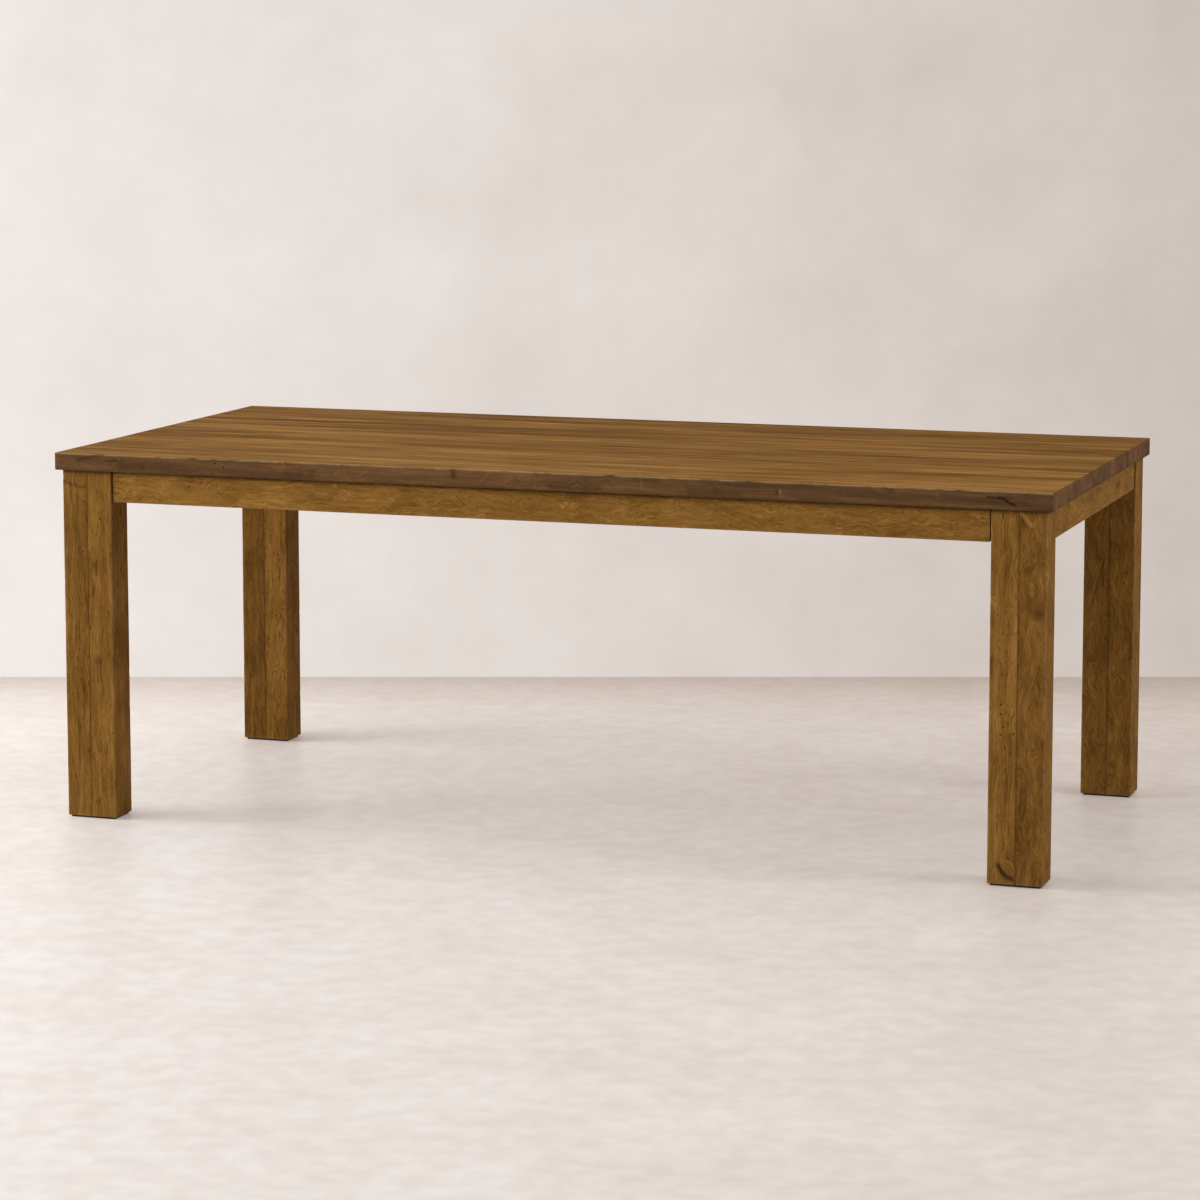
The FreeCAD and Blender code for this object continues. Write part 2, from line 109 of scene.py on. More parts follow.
# %% The section carried along the bar
def sweep_section(along, drawn, size, radius, chord, free, shape):
    """Carry the section along the bar, as an array of rows of points (along, a, b).

    On a corner a point is centre + radius * (cos q, sin q), and on a side it is a blend of two such points.
    Where chord is 1 the arc is straightened into a chamfer. Free sides are drawn in near the ends.
    """
    corner, angle, share = shape
    follow = (corner + 1) % 4
    first = pi + corner * pi / 2
    part = ((angle - first) / (pi / 2)) % 4
    columns = [np.broadcast_to(along[:, None], (len(along), len(corner)))]
    across, upright = ((-1, 1, 1, -1), 0, size[1], np.cos), ((-1, -1, 1, 1), 2, size[2], np.sin)
    for sign, low_side, width, wave in (across, upright):
        sign = np.array(sign)
        inset = drawn[:, None]
        side = np.where(sign < 0, inset * free[low_side], width - inset * free[low_side + 1])
        centre = side - sign * radius
        straight = (1 - part) * wave(first) + part * wave(first + pi / 2)
        bend = wave(angle) * (1 - chord[:, corner]) + straight * chord[:, corner]
        near = centre[:, corner] + radius[:, corner] * bend
        far = centre[:, follow] + radius[:, follow] * wave(angle)
        columns.append(near * (1 - share) + far * share)
    return np.stack(columns, -1)


ON_SIDE = 0.3 * MM


def cut_notch(tube, size, notch):
    """Sink a strip of one side along the whole bar: points between two levels move in by a depth."""
    side, start, end, depth = notch
    axis, other = (1, 2) if side < 2 else (2, 1)
    wall = (0, size[axis])[side % 2]
    level = tube[..., other].mean(axis=0)
    on_side = np.abs(tube[..., axis].mean(axis=0) - wall) < ON_SIDE
    tube[:, on_side & (level > start) & (level < end), axis] += depth * (1, -1)[side % 2]
    return tube


# %% The ends of the bar
def coons(low, high, left, right):
    """Fill four border curves: the two ruled blends of opposite borders, less the blend of the corners."""
    u = np.linspace(0, 1, len(low))[None, :, None]
    v = np.linspace(0, 1, len(left))[:, None, None]
    across = low[None] * (1 - v) + high[None] * v
    up = left[:, None] * (1 - u) + right[:, None] * u
    corners = (low[0] * (1 - u) + low[-1] * u) * (1 - v) + (high[0] * (1 - u) + high[-1] * u) * v
    return across + up - corners


def close_ends(tube, starts):
    """Points and four-sided faces of a tube whose two ends are filled with Coons patches."""
    rows, count = tube.shape[:2]
    ids = np.arange(rows * count).reshape(rows, count)
    beside = np.roll(ids, -1, axis=1)
    faces = [np.stack([ids[:-1], beside[:-1], beside[1:], ids[1:]], -1).reshape(-1, 4)]
    points = [tube.reshape(-1, 3)]
    total = rows * count
    for ring, turned in ((ids[0], True), (ids[-1], False)):
        closed = np.append(ring, ring[0])
        low, right = closed[starts[0]:starts[1] + 1], closed[starts[1]:starts[2] + 1]
        high, left = closed[starts[2]:starts[3] + 1][::-1], closed[starts[3]:][::-1]
        patch = coons(*(points[0][border] for border in (low, high, left, right)))
        inner = patch[1:-1, 1:-1].reshape(-1, 3)
        grid = np.zeros(patch.shape[:2], int)
        grid[1:-1, 1:-1] = total + np.arange(len(inner)).reshape(len(left) - 2, len(low) - 2)
        grid[0], grid[-1], grid[:, 0], grid[:, -1] = low, high, left, right
        quads = np.stack([grid[:-1, :-1], grid[:-1, 1:], grid[1:, 1:], grid[1:, :-1]], -1).reshape(-1, 4)
        faces.append(quads[:, ::-1] if turned else quads)
        points.append(inner)
        total += len(inner)
    return np.concatenate(points), np.concatenate(faces)


# %% The whole bar
KNOCK_SPACING, KNOCK_LENGTH = 0.29, 5 * MM
SWELL, KNOCK, DEEPEST_KNOCK = 0.12, 0.6, 0.8
END_SHRINK = 0.5


def eased_by_hand(along, lot):
    """How a hand-sanded arris swells along a bar: 1 plus a slow sine wave for each corner, plus knocks."""
    if lot is None:
        return np.ones((len(along), 4))
    phase = lot.uniform(0, 2 * pi, 4)
    swell = SWELL * np.sin(along[:, None] * 2 * pi / KNOCK_SPACING + phase)
    places = lot.uniform(0, along[-1], (max(1, round(along[-1] / KNOCK_SPACING)), 4))
    knocks = KNOCK * np.exp(-(((along[:, None, None] - places) / KNOCK_LENGTH) ** 2)).sum(axis=1)
    return 1 + swell + np.clip(knocks, 0, DEEPEST_KNOCK)


def bar(size, step, ease, radii, free, lot=None, extra=((), (), ()), flat=None, notch=None):
    """A bar with a rounded section, eased ends and closed caps: points (along, a, b) and four-sided faces.

    At a distance d from an end the free sides are drawn in by ease - sqrt(ease^2 - (ease - d)^2).
    A flat, given as (corner, from, cut), straightens one corner into a chamfer beyond a distance.
    """
    length, width, height = size
    extra_along = list(extra[0])
    cut = list(radii)
    if flat:
        extra_along += [flat[1] - HAIR, flat[1] + HAIR]
        cut[flat[0]] = flat[2]
    along = stations(length, step[0], ease, extra_along)
    end = np.minimum(along, length - along)
    drawn = ease - np.sqrt(ease**2 - np.clip(ease - end, 0, ease) ** 2)
    sides = ((width, max(radii[0], radii[3]), max(radii[1], radii[2])),
             (height, max(cut[0], cut[1]), max(cut[2], cut[3])))
    corner, angle, share, starts = outline(sides, step[1], extra[1:])
    radius = np.asarray(radii)[None] * eased_by_hand(along, lot) - END_SHRINK * drawn[:, None]
    radius = np.maximum(radius, HAIR)
    chord = np.zeros_like(radius)
    if flat:
        radius[along > flat[1], flat[0]] = flat[2]
        chord[along > flat[1], flat[0]] = 1
    tube = sweep_section(along, drawn, size, radius, chord, free, (corner, angle, share))
    if notch:
        tube = cut_notch(tube, size, notch)
    return close_ends(tube, starts)


# %% [markdown]
# ## From arrays to a piece that rides on the table
# foreach_set copies a whole array into a mesh at once. Each piece rides on the table's one body, hides
# the imported node that it stands for, and takes the finish that it is given.

# %% Put arrays into a mesh
SHARP_FROM = radians(40)


def new_object(name, data):
    """A new object at the origin for a mesh, a camera or a lamp, linked into the scene."""
    item = bpy.data.objects.new(name, data)
    bpy.context.scene.collection.objects.link(item)
    return item


def make_piece(node, points, faces, material, attributes=None):
    """Put points, faces and per-point attributes into a mesh, and let it stand for a node of the frame."""
    name = node.replace("_", "-")
    mesh = bpy.data.meshes.new(name)
    mesh.vertices.add(len(points))
    mesh.vertices.foreach_set("co", points.astype(np.float32).ravel())
    mesh.loops.add(faces.size)
    mesh.loops.foreach_set("vertex_index", faces.astype(np.int32).ravel())
    mesh.polygons.add(len(faces))
    mesh.polygons.foreach_set("loop_start", np.arange(0, faces.size, 4, dtype=np.int32))
    mesh.polygons.foreach_set("use_smooth", np.ones(len(faces), bool))
    mesh.update(calc_edges=True)
    mesh.set_sharp_from_angle(angle=SHARP_FROM)
    for title, values in (attributes or {}).items():
        layer = mesh.attributes.new(title, "FLOAT_VECTOR", "POINT")
        layer.data.foreach_set("vector", values.astype(np.float32).ravel())
    mesh.materials.append(material)
    piece = new_object(name, mesh)
    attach(piece, "root")
    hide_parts(node)


# %% [markdown]
# ## How the grain lies in each piece
# A board is a slice of a log, so its figure follows from where the log's heart was: rings seen flat give
# broad flames, rings seen edge-on give stripes, and the same rings show again on the board's end. Each
# piece therefore carries the attribute "log": how far a point lies along the log and across it from the
# heart. A knot pushes the fibres aside as a post parts a stream, and the same push is written into "log",
# so the stripes bend round it.

# %% Log coordinates
HEART_ASIDE, HEART_NEAR, HEART_FAR = 0.05, 0.035, 0.09
LOG_LEAN, LOG_RUN = 0.02, 40


def log_coordinates(points, grain, low, high, lot):
    """Along the log, and two distances from its heart, which wanders by a small lean as the board runs."""
    aside = lot.uniform(-HEART_ASIDE, HEART_ASIDE)
    heart = np.array([aside, lot.choice([-1, 1]) * lot.uniform(HEART_NEAR, HEART_FAR)])
    lean = lot.uniform(-LOG_LEAN, LOG_LEAN, 2)
    turned = np.roll(points - (low + high) / 2, -grain, axis=1)
    run = turned[:, :1]
    return np.concatenate([run + lot.uniform(0, LOG_RUN), turned[:, 1:] - heart - lean * run], axis=1)


# %% [markdown]
# ## The marks that tell these boards apart
# Rustic stock keeps its character: knots, worm holes, dark mineral streaks and pale scars. Those in view
# are listed here, in millimetres, where they lie on the table: on a piece's front as (x, z), or on the
# face that FACES gives it, without that face's own axis. A knot is (place, radius). A streak is (width,
# strength, path), with a depth after it where it is a hollow. A worm hole is a place.

# %% Marks on the pieces in view
LOW, HIGH = 0, 1
FRONT = (Y_AXIS, LOW)
FACES = {"right_apron": (X_AXIS, HIGH), "top_board_3": (Z_AXIS, HIGH), "top_board_6": (Z_AXIS, HIGH)}
KNOTS = {
    "top_board_1": [((956, 755), 5)],
    "leg_front_right_inner_stave": [((969, 33), 13)],
    "leg_front_right_outer_stave": [((1001, 622), 7), ((1024, 540), 9)],
    "leg_front_left_outer_stave": [((-1003, 716), 6)],
    "leg_front_left_inner_stave": [((-958, 150), 8)],
    "leg_rear_left_inner_stave": [((-945, 62), 10)],
    "leg_rear_right_inner_stave": [((950, 300), 9)],
    "front_apron": [
        ((201, 702), 4), ((616, 696), 7), ((845, 694), 8), ((-816, 678), 4), ((90, 722), 9),
        ((-480, 700), 6),
    ],
    "right_apron": [((-60, 706), 10), ((230, 700), 8)],
}
HOLLOWS = {
    "leg_front_right_inner_stave": [(4.5, 0.8, [(951, 41), (957, 29), (967, 20), (979, 15)], 1.6)],
    "top_board_1": [(2.6, 0.9, [(944, 757), (955, 756), (962, 750), (976, 744)], 0.8)],
}
DARK_STREAKS = {
    "top_board_1": [
        (4, 0.5, [(-996, 757), (-966, 764), (-940, 769)]), (2.5, 0.5, [(-926, 756), (-908, 759)]),
        (6, 0.55, [(-166, 767), (-166, 756)]), (2.4, 0.8, [(505, 753), (506, 748)]),
        (2.4, 0.5, [(720, 766), (738, 764)]), (2.6, 0.6, [(922, 758), (946, 756)]),
        (8, 0.32, [(-900, 744), (-850, 748)]), (9, 0.36, [(-530, 744), (-470, 746)]),
        (8, 0.36, [(40, 743), (140, 745)]), (7, 0.3, [(215, 764), (265, 762)]),
        (9, 0.36, [(330, 744), (430, 742)]),
    ],
    "front_apron": [
        (1.6, 0.5, [(-922, 724), (-906, 723)]), (1.6, 0.5, [(-922, 712), (-904, 712)]),
        (1.6, 0.5, [(-922, 700), (-908, 699)]), (1.6, 0.45, [(-922, 688), (-910, 688)]),
    ],
    "leg_front_left_outer_stave": [(3.5, 0.5, [(-1036, 709), (-1012, 702), (-994, 698), (-984, 702)])],
    "leg_front_left_inner_stave": [
        (2.5, 0.5, [(-963, 545), (-964, 520)]), (2.2, 0.5, [(-970, 490), (-972, 470)]),
        (7, 0.4, [(-964, 334), (-958, 338)]),
    ],
    "leg_front_right_outer_stave": [
        (6, 0.5, [(987, 718), (995, 704)]), (14, 0.3, [(1030, 655), (1026, 630)]),
    ],
    "leg_front_right_inner_stave": [
        (1.6, 0.5, [(963, 232), (966, 205), (963, 165)]), (2.2, 0.6, [(952, 734), (951, 716)]),
        (9, 0.35, [(930, 529), (932, 515)]), (9, 0.35, [(930, 440), (931, 428)]),
    ],
    "leg_rear_right_inner_stave": [(1.8, 0.4, [(974, 520), (946, 410)])],
}
PALE_STREAKS = {
    "top_board_1": [
        (1.3, 0.3, [(-540, 769), (-530, 764), (-538, 758)]), (1.3, 0.3, [(-424, 748), (-410, 760)]),
        (1.3, 0.3, [(-372, 746), (-352, 758)]), (1.3, 0.3, [(-108, 748), (-96, 756), (-92, 764)]),
        (1.3, 0.3, [(-56, 746), (-44, 758), (-46, 764)]), (1.2, 0.4, [(230, 746), (229, 766)]),
        (2.0, 0.6, [(512, 754), (513, 748)]),
    ],
    "leg_front_right_outer_stave": [
        (4.2, 1.0, [(985, 731), (996, 716), (1006, 705)]), (1.2, 0.35, [(1016, 80), (1028, 66)]),
        (1.2, 0.35, [(1027, 80), (1017, 66)]),
    ],
    "leg_front_left_outer_stave": [(1.4, 0.35, [(-996, 572), (-992, 565), (-995, 558)])],
    "leg_rear_right_inner_stave": [(1.4, 0.3, [(966, 510), (938, 412)])],
    "leg_front_right_inner_stave": [
        (1.5, 0.6, [(955, 46), (964, 51), (974, 48), (980, 40), (982, 28)]),
        (1.2, 0.4, [(955, 42), (965, 35), (973, 24)]), (1.2, 0.35, [(960, 45), (970, 39), (978, 26)]),
    ],
    "leg_front_left_inner_stave": [
        (3.0, 0.4, [(-964, 88), (-963, 52)]),
        (1.4, 0.4, [(-975, 172), (-972, 146), (-964, 132), (-955, 146), (-953, 170)]),
    ],
    "right_apron": [
        (1.5, 0.4, [(-118, 732), (-104, 700), (-100, 672)]), (1.5, 0.4, [(224, 728), (230, 690)]),
    ],
    "front_apron": [
        (1.5, 0.5, [(285, 724), (296, 730), (306, 732)]),
        (1.4, 0.5, [(836, 706), (852, 704), (856, 692), (846, 684)]),
    ],
    "leg_rear_left_inner_stave": [
        (1.6, 0.3, [(-965, 96), (-952, 66), (-938, 100)]),
        (1.6, 0.3, [(-962, 76), (-952, 50), (-940, 78)]),
    ],
}
WORM_HOLES = {
    "top_board_1": [(-687, 761), (-932, 757), (-668, 754), (926, 758)],
    "top_board_3": [(34, -144)],
    "top_board_6": [(-292, 128), (-221, 190), (62, 162)],
    "leg_front_left_inner_stave": [(-954, 634)],
    "leg_front_left_outer_stave": [(-994, 563)],
    "leg_front_right_inner_stave": [(952, 356), (951, 338), (957, 312), (952, 297), (977, 300)],
    "leg_rear_left_inner_stave": [(-958, 440), (-946, 425), (-953, 294), (-946, 247), (-958, 163)],
    "leg_rear_right_outer_stave": [(1019, 487), (1015, 466)],
    "front_apron": [(-752, 709), (-150, 698)],
}
HOLE_RADIUS = 1.5 * MM
tables = (KNOTS, HOLLOWS, DARK_STREAKS, PALE_STREAKS, WORM_HOLES)
print("marks placed by hand:", sum(len(marks) for table in tables for marks in table.values()))

# %% Knots that part the grain
KNOT_STRETCH, KNOT_REACH = 1.5, 3.0
KNOT_DEPTH, NEAR_FACE = 0.03, 0.5


def on_face(node, flat):
    """Points in space, in metres, from flat places on a piece's face: the face's own coordinate goes in."""
    axis, side = FACES.get(node, FRONT)
    return np.insert(np.asarray(flat, float) * MM, axis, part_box(node)[side][axis], axis=-1)


def part_round_knots(log, points, grain, node):
    """Bend the log coordinates round a piece's knots, and give the distance to the nearest in knot radii.

    Across a knot of radius k a fibre at offset t moves to t * (1 - k^2 / r^2), the flow round a post, where
    r is the distance to the knot with the run along the grain shortened. The push fades with depth.
    """
    nearest = np.full(len(points), KNOT_REACH)
    face = FACES.get(node, FRONT)[0]
    across = 3 - grain - face
    for centre, radius in KNOTS.get(node, []):
        offset = points - on_face(node, centre)
        r = np.hypot(offset[:, grain] / KNOT_STRETCH, offset[:, across]) / (radius * MM)
        depth = np.exp(-((offset[:, face] / KNOT_DEPTH) ** 2))
        log[:, (across - grain) % 3] -= depth * offset[:, across] / np.maximum(r, 1) ** 2
        nearest = np.minimum(nearest, np.where(depth > NEAR_FACE, np.clip(r, 0, KNOT_REACH), KNOT_REACH))
    return nearest


# %% Streaks, hollows and holes
def closeness(points, path, width):
    """1 on a path of straight runs, falling off as a bell: exp(-(d / width)^2) at a distance d from it."""
    best = np.full(len(points), np.inf)
    for start, end in zip(path[:-1], path[1:]):
        run = end - start
        t = np.clip((points - start) @ run / max(run @ run, HAIR**2), 0, 1)
        best = np.minimum(best, np.linalg.norm(points - start - t[:, None] * run, axis=1))
    return np.exp(-((best / (width * MM)) ** 2))


HOLE_SHADE, HOLE_FADE, HOLE_MOUTH = 1.9, 1.3, 1.25


def surface_marks(points, node):
    """How dark, how pale and how far sunk the marks of a piece make each of its points."""
    dark, pale, sunk = np.zeros((3, len(points)))
    for width, strength, path, *depth in HOLLOWS.get(node, []) + DARK_STREAKS.get(node, []):
        near = closeness(points, on_face(node, path), width)
        dark = np.maximum(dark, strength * near)
        if depth:
            sunk = np.maximum(sunk, depth[0] * MM * near)
    for width, strength, path in PALE_STREAKS.get(node, []):
        pale = np.maximum(pale, strength * closeness(points, on_face(node, path), width))
    for place in WORM_HOLES.get(node, []):
        away = np.linalg.norm(points - on_face(node, place), axis=1) / HOLE_RADIUS
        dark = np.maximum(dark, np.clip(HOLE_SHADE - HOLE_FADE * away, 0, 1))
        sunk = np.maximum(sunk, np.clip(HOLE_MOUTH - away, 0, 1) * HOLE_RADIUS)
    return dark, pale, sunk


# %% [markdown]
# ## A piece of wood, from its node's box to its marks
# Every wooden piece is made the same way. Its node in the frame gives the box, the bar fills the box, and
# the hollows and holes are pressed into the surface. Four attributes go along for the finish: "log" for
# the grain, "marks" for dark and pale marks, painted shade and worn edges with painted highlight,
# "finish" for the piece's tone, its darker edge stain and its knots, and "figure" for how much its
# fibres swirl, how open its pores are and how curly its figure is.

# %% Grid lines where the marks are
LINE_STEP = 0.8 * MM
HOLE_RINGS = np.array([-1.5, -1, -0.5, 0, 0.5, 1, 1.5])
MARK_REACH, MARK_STEP, FINEST_STEP = 1.8, 0.8, 1.2


def mark_lines(node, low, axis):
    """Extra grid lines across the marks of a piece along one axis, close enough to draw them."""
    lines = [np.zeros(0)]
    streaks = HOLLOWS.get(node, []) + DARK_STREAKS.get(node, []) + PALE_STREAKS.get(node, [])
    for width, _, path, *_ in () if axis == FACES.get(node, FRONT)[0] else streaks:
        places = on_face(node, path)[:, axis]
        reach = MARK_REACH * width * MM
        step = max(MARK_STEP * width, FINEST_STEP) * MM
        lines.append(np.arange(places.min() - reach, places.max() + reach, step))
    for place in WORM_HOLES.get(node, []):
        lines.append(on_face(node, place)[axis] + HOLE_RINGS * HOLE_RADIUS)
    return np.round((np.concatenate(lines) - low[axis]) / LINE_STEP) * LINE_STEP


# %% Edges and faces of a piece
RUB_AND_HIGHLIGHT_WIDTH, GLUE_WIDTH = 2.4 * MM, 1.6 * MM
POCKET_GAP = 0.4 * MM
TENON_EASE = 0.6 * MM
# Widths of the painted shade just under the top and along the lower edge of the top.
CORNER_SHADE, LOW_EDGE_SHADE = 7 * MM, 3 * MM


def face_inward(points, low, high):
    """The unit vector from the nearest of a box's six faces into the box, at each point."""
    gaps = np.concatenate([points - low, high - points], axis=1)
    return np.concatenate([np.eye(3), -np.eye(3)])[np.argmin(gaps, axis=1)]


def edge_lines(points, axes, low, high, eased, free, worn_and_highlit):
    """How near a point is to a worn arris with painted highlight and to a glued one, as bells of their
    widths.
    """
    span = np.stack([points[:, axes] - low[axes], high[axes] - points[:, axes]], 1)
    rub_and_highlight, glue = np.zeros(len(points)), np.zeros(len(points))
    for corner, (side_a, side_b) in enumerate(((0, 0), (1, 0), (1, 1), (0, 1))):
        away = span[:, side_a, 1] ** 2 + span[:, side_b, 2] ** 2
        if corner in (eased if worn_and_highlit is None else worn_and_highlit):
            rub_and_highlight = np.maximum(rub_and_highlight, np.exp(-away / RUB_AND_HIGHLIGHT_WIDTH**2))
        if corner not in eased:
            glue = np.maximum(glue, np.exp(-away / GLUE_WIDTH**2))
    end = np.min(span[:, :, 0], axis=1) ** 2
    for side in np.flatnonzero(free) if worn_and_highlit is None else ():
        away = span[:, side % 2, 1 + side // 2] ** 2 + end
        rub_and_highlight = np.maximum(rub_and_highlight, np.exp(-away / RUB_AND_HIGHLIGHT_WIDTH**2))
    return rub_and_highlight, glue


def sink_pocket(points, pocket, low, high):
    """Push the points of a face that lie between two corners in by a depth along an axis: a mortise."""
    start, end, axis, depth = pocket
    other = [i for i in range(3) if i != axis]
    inside = np.all((points[:, other] > start[other]) & (points[:, other] < end[other]), axis=1)
    wall = low[axis] if depth > 0 else high[axis]
    inside &= np.abs(points[:, axis] - wall) < MM
    points[inside, axis] += depth
    return points


# %% Build one wooden piece
TENON_STEP = (8 * MM, 5 * MM)
STAIN_CURLS = 0.9


def grid_lines(node, axes, low, pocket, notch):
    """The grid lines that a piece needs along each of its axes: at its marks and the rims of its cuts."""
    lines = [mark_lines(node, low, axis) for axis in axes]
    if pocket:
        for number, axis in enumerate(axes):
            if axis != pocket[2]:
                rims = np.array([pocket[0][axis], pocket[1][axis]]) - low[axis]
                lines[number] = np.concatenate([lines[number], rims - POCKET_GAP, rims + POCKET_GAP])
    if notch:
        rims = np.array(notch[1:3])
        number = 2 if notch[0] < 2 else 1
        lines[number] = np.concatenate([lines[number], rims - HAIR, rims + HAIR])
    return lines


def wooden_piece(node, grain, low, high, eased, free, material, style, seed, *, step, arris=2.2 * MM,
                 seam=0.35 * MM, seam_dark=0.2, by_hand=True, flat=None, notch=None, pocket=None,
                 edge_stain=None, shade_under_top=0.0, shade_low_edge=0.0, worn_and_highlit=None, rub_and_highlight_share=0.4, tenons=()):
    """Make the visible surface of a wooden node: the eased bar with its marks, and its attributes."""
    low, high = np.asarray(low, float), np.asarray(high, float)
    lot = np.random.default_rng(seed)
    axes = [grain, (grain + 1) % 3, (grain + 2) % 3]
    extra = grid_lines(node, axes, low, pocket, notch)
    radii = [arris if corner in eased else seam for corner in range(4)]
    hand = lot if by_hand else None
    points, faces = bar((high - low)[axes], step, arris, radii, free, hand, extra, flat, notch)
    points = np.roll(points, grain, axis=1) + low
    if pocket:
        points = sink_pocket(points, pocket, low, high)
    for start, end in tenons:
        shell, quads = bar((end - start)[axes], TENON_STEP, TENON_EASE, (TENON_EASE,) * 4, (1, 1, 1, 1))
        faces = np.concatenate([faces, quads + len(points)])
        points = np.concatenate([points, np.roll(shell, grain, axis=1) + start])

    log = log_coordinates(points, grain, low, high, lot)
    knot = part_round_knots(log, points, grain, node)
    dark, pale, sunk = surface_marks(points, node)
    # Painted shade: the wood darkens just under the top and along the top's lower edge, where shade falls.
    dark = np.maximum(dark, shade_under_top * np.exp(-(((high[2] - points[:, 2]) / CORNER_SHADE) ** 2)))
    dark = np.maximum(dark, shade_low_edge * np.exp(-(((points[:, 2] - low[2]) / LOW_EDGE_SHADE) ** 2)))
    rub_and_highlight, glue = edge_lines(points, axes, low, high, eased, free, worn_and_highlit)
    stain = np.zeros(len(points)) if edge_stain is None else edge_stain(points, low, high)
    points = points + sunk[:, None] * face_inward(points, low, high)

    tone, swirl, pores, curls = style
    every = np.ones(len(points))
    attributes = {
        "log": log,
        "marks": np.stack([np.maximum(dark, seam_dark * glue), pale, rub_and_highlight_share * rub_and_highlight], 1),
        "finish": np.stack([tone * every, stain, knot], 1),
        "figure": np.stack([swirl * every, pores * every, np.maximum(curls, STAIN_CURLS * stain)], 1),
    }
    make_piece(node, points, faces, material, attributes)


# %% [markdown]
# ## Colours and nodes
# Colours are written as the sRGB hex values that a colour picker shows. Blender's shaders work in linear
# light, so one function turns them over. A second small function adds a node, sets it and wires it.

# %% Helpers for materials
def linear(code):
    """The linear RGBA of an sRGB hex code: c / 12.92 below 0.04045, ((c + 0.055) / 1.055)^2.4 above."""
    parts = np.array([int(code[i:i + 2], 16) / 255 for i in (1, 3, 5)])
    return (*np.where(parts < 0.04045, parts / 12.92, ((parts + 0.055) / 1.055) ** 2.4), 1.0)


def add(tree, kind, inputs=None, stops=(), **settings):
    """Add a shader node, set its properties and ramp stops, and give its inputs values or links."""
    node = tree.nodes.new("ShaderNode" + kind)
    for name, value in settings.items():
        setattr(node, name, value)
    for key, value in (inputs or {}).items():
        if isinstance(value, bpy.types.Node):
            value = next(socket for socket in value.outputs if socket.enabled)
        if isinstance(value, bpy.types.NodeSocket):
            tree.links.new(value, node.inputs[key])
        else:
            node.inputs[key].default_value = value
    for number, (position, code) in enumerate(stops):
        elements = node.color_ramp.elements
        element = elements[number] if number < len(elements) else elements.new(position)
        element.position, element.color = position, linear(code)
    return node


def blank_material(name):
    """A new material and its emptied node tree."""
    material = bpy.data.materials.new(name)
    material.use_nodes = True
    material.node_tree.nodes.clear()
    return material, material.node_tree


def grain_layer(tree, lie, length, width, detail):
    """One layer of grain: noise in cells a length along the grain and a width across it, in millimetres."""
    along, across = 1 / (length * MM), 1 / (width * MM)
    cells = add(tree, "VectorMath", {0: lie, 1: (along, across, across)}, operation="MULTIPLY")
    return add(tree, "TexNoise", {"Vector": cells, "Scale": 1.0, "Detail": detail})


# %% [markdown]
# ## Stained hardwood under a thin matt lacquer
# The real wood is a hardwood, planed, brushed with an amber-brown stain and sealed thin. Stain sinks into
# soft grain and shows it dark, pools in pores and cuts, and rubs thin on the edges. So the finish is a
# stack of stretched noises on the log coordinates, each as long and as wide as the feature it draws,
# summed into one shade that a colour ramp turns into stain. Marks, knots, painted shade and worn edges
# with painted highlight are laid over it from the attributes.

# %% The shade of the grain
# A layer: length along the grain and width across it in millimetres, noise detail, weight in the shade.
# Real fibres are a tenth of a millimetre wide: they are drawn as coarse as they need to show.
TOP_GRAIN = {"clouds": (900, 110, 1.0, 0.4), "streaks": (650, 38, 2.0, 0.7), "stripes": (320, 15, 2.0, 0.8),
             "lines": (200, 8, 2.0, 0.55), "fibres": (80, 3, 2.0, 0.6)}
LEG_GRAIN = {"clouds": (110, 65, 2.0, 0.42), "streaks": (200, 14, 2.0, 0.24), "lines": (110, 7, 2.0, 0.3),
             "fibres": (60, 2.8, 2.0, 0.6)}
FINE = ("lines", "fibres")
WAVER, EDDIES = (95, 60, 2.0), (40, 24, 1.0)
STILL, SWIRLING, CURL_REACH = 6 * MM, 70 * MM, 45 * MM
CURLS_PER_METRE = 16.0
RING_WIDTH = 7 * MM
FROM_HEART = (0, 1, 1)


def swayed(tree, lie, noise, reach):
    """Shift the two distances from the heart by a noise's colour, less its mean, times a reach."""
    even = add(tree, "VectorMath", {0: noise.outputs["Color"], 1: (0.5, 0.5, 0.5)}, operation="SUBTRACT")
    swing = add(tree, "VectorMath", {0: even, "Scale": reach}, operation="SCALE")
    return add(tree, "VectorMath", {0: swing, 1: FROM_HEART, 2: lie}, operation="MULTIPLY_ADD")


def curled(tree, log, bent, figure):
    """Bend the grain further into curls, in patches, and say how strongly each place curls."""
    cover = add(tree, "TexNoise", {"Vector": log, "Scale": CURLS_PER_METRE, "Detail": 1.0})
    patch = add(tree, "MapRange", {"Value": cover, "From Min": 0.44, "From Max": 0.64})
    patch = add(tree, "Math", {0: patch, 1: figure.outputs[2]}, operation="MULTIPLY")
    reach = add(tree, "Math", {0: patch, 1: CURL_REACH}, operation="MULTIPLY")
    return swayed(tree, bent, grain_layer(tree, bent, *EDDIES), reach), patch


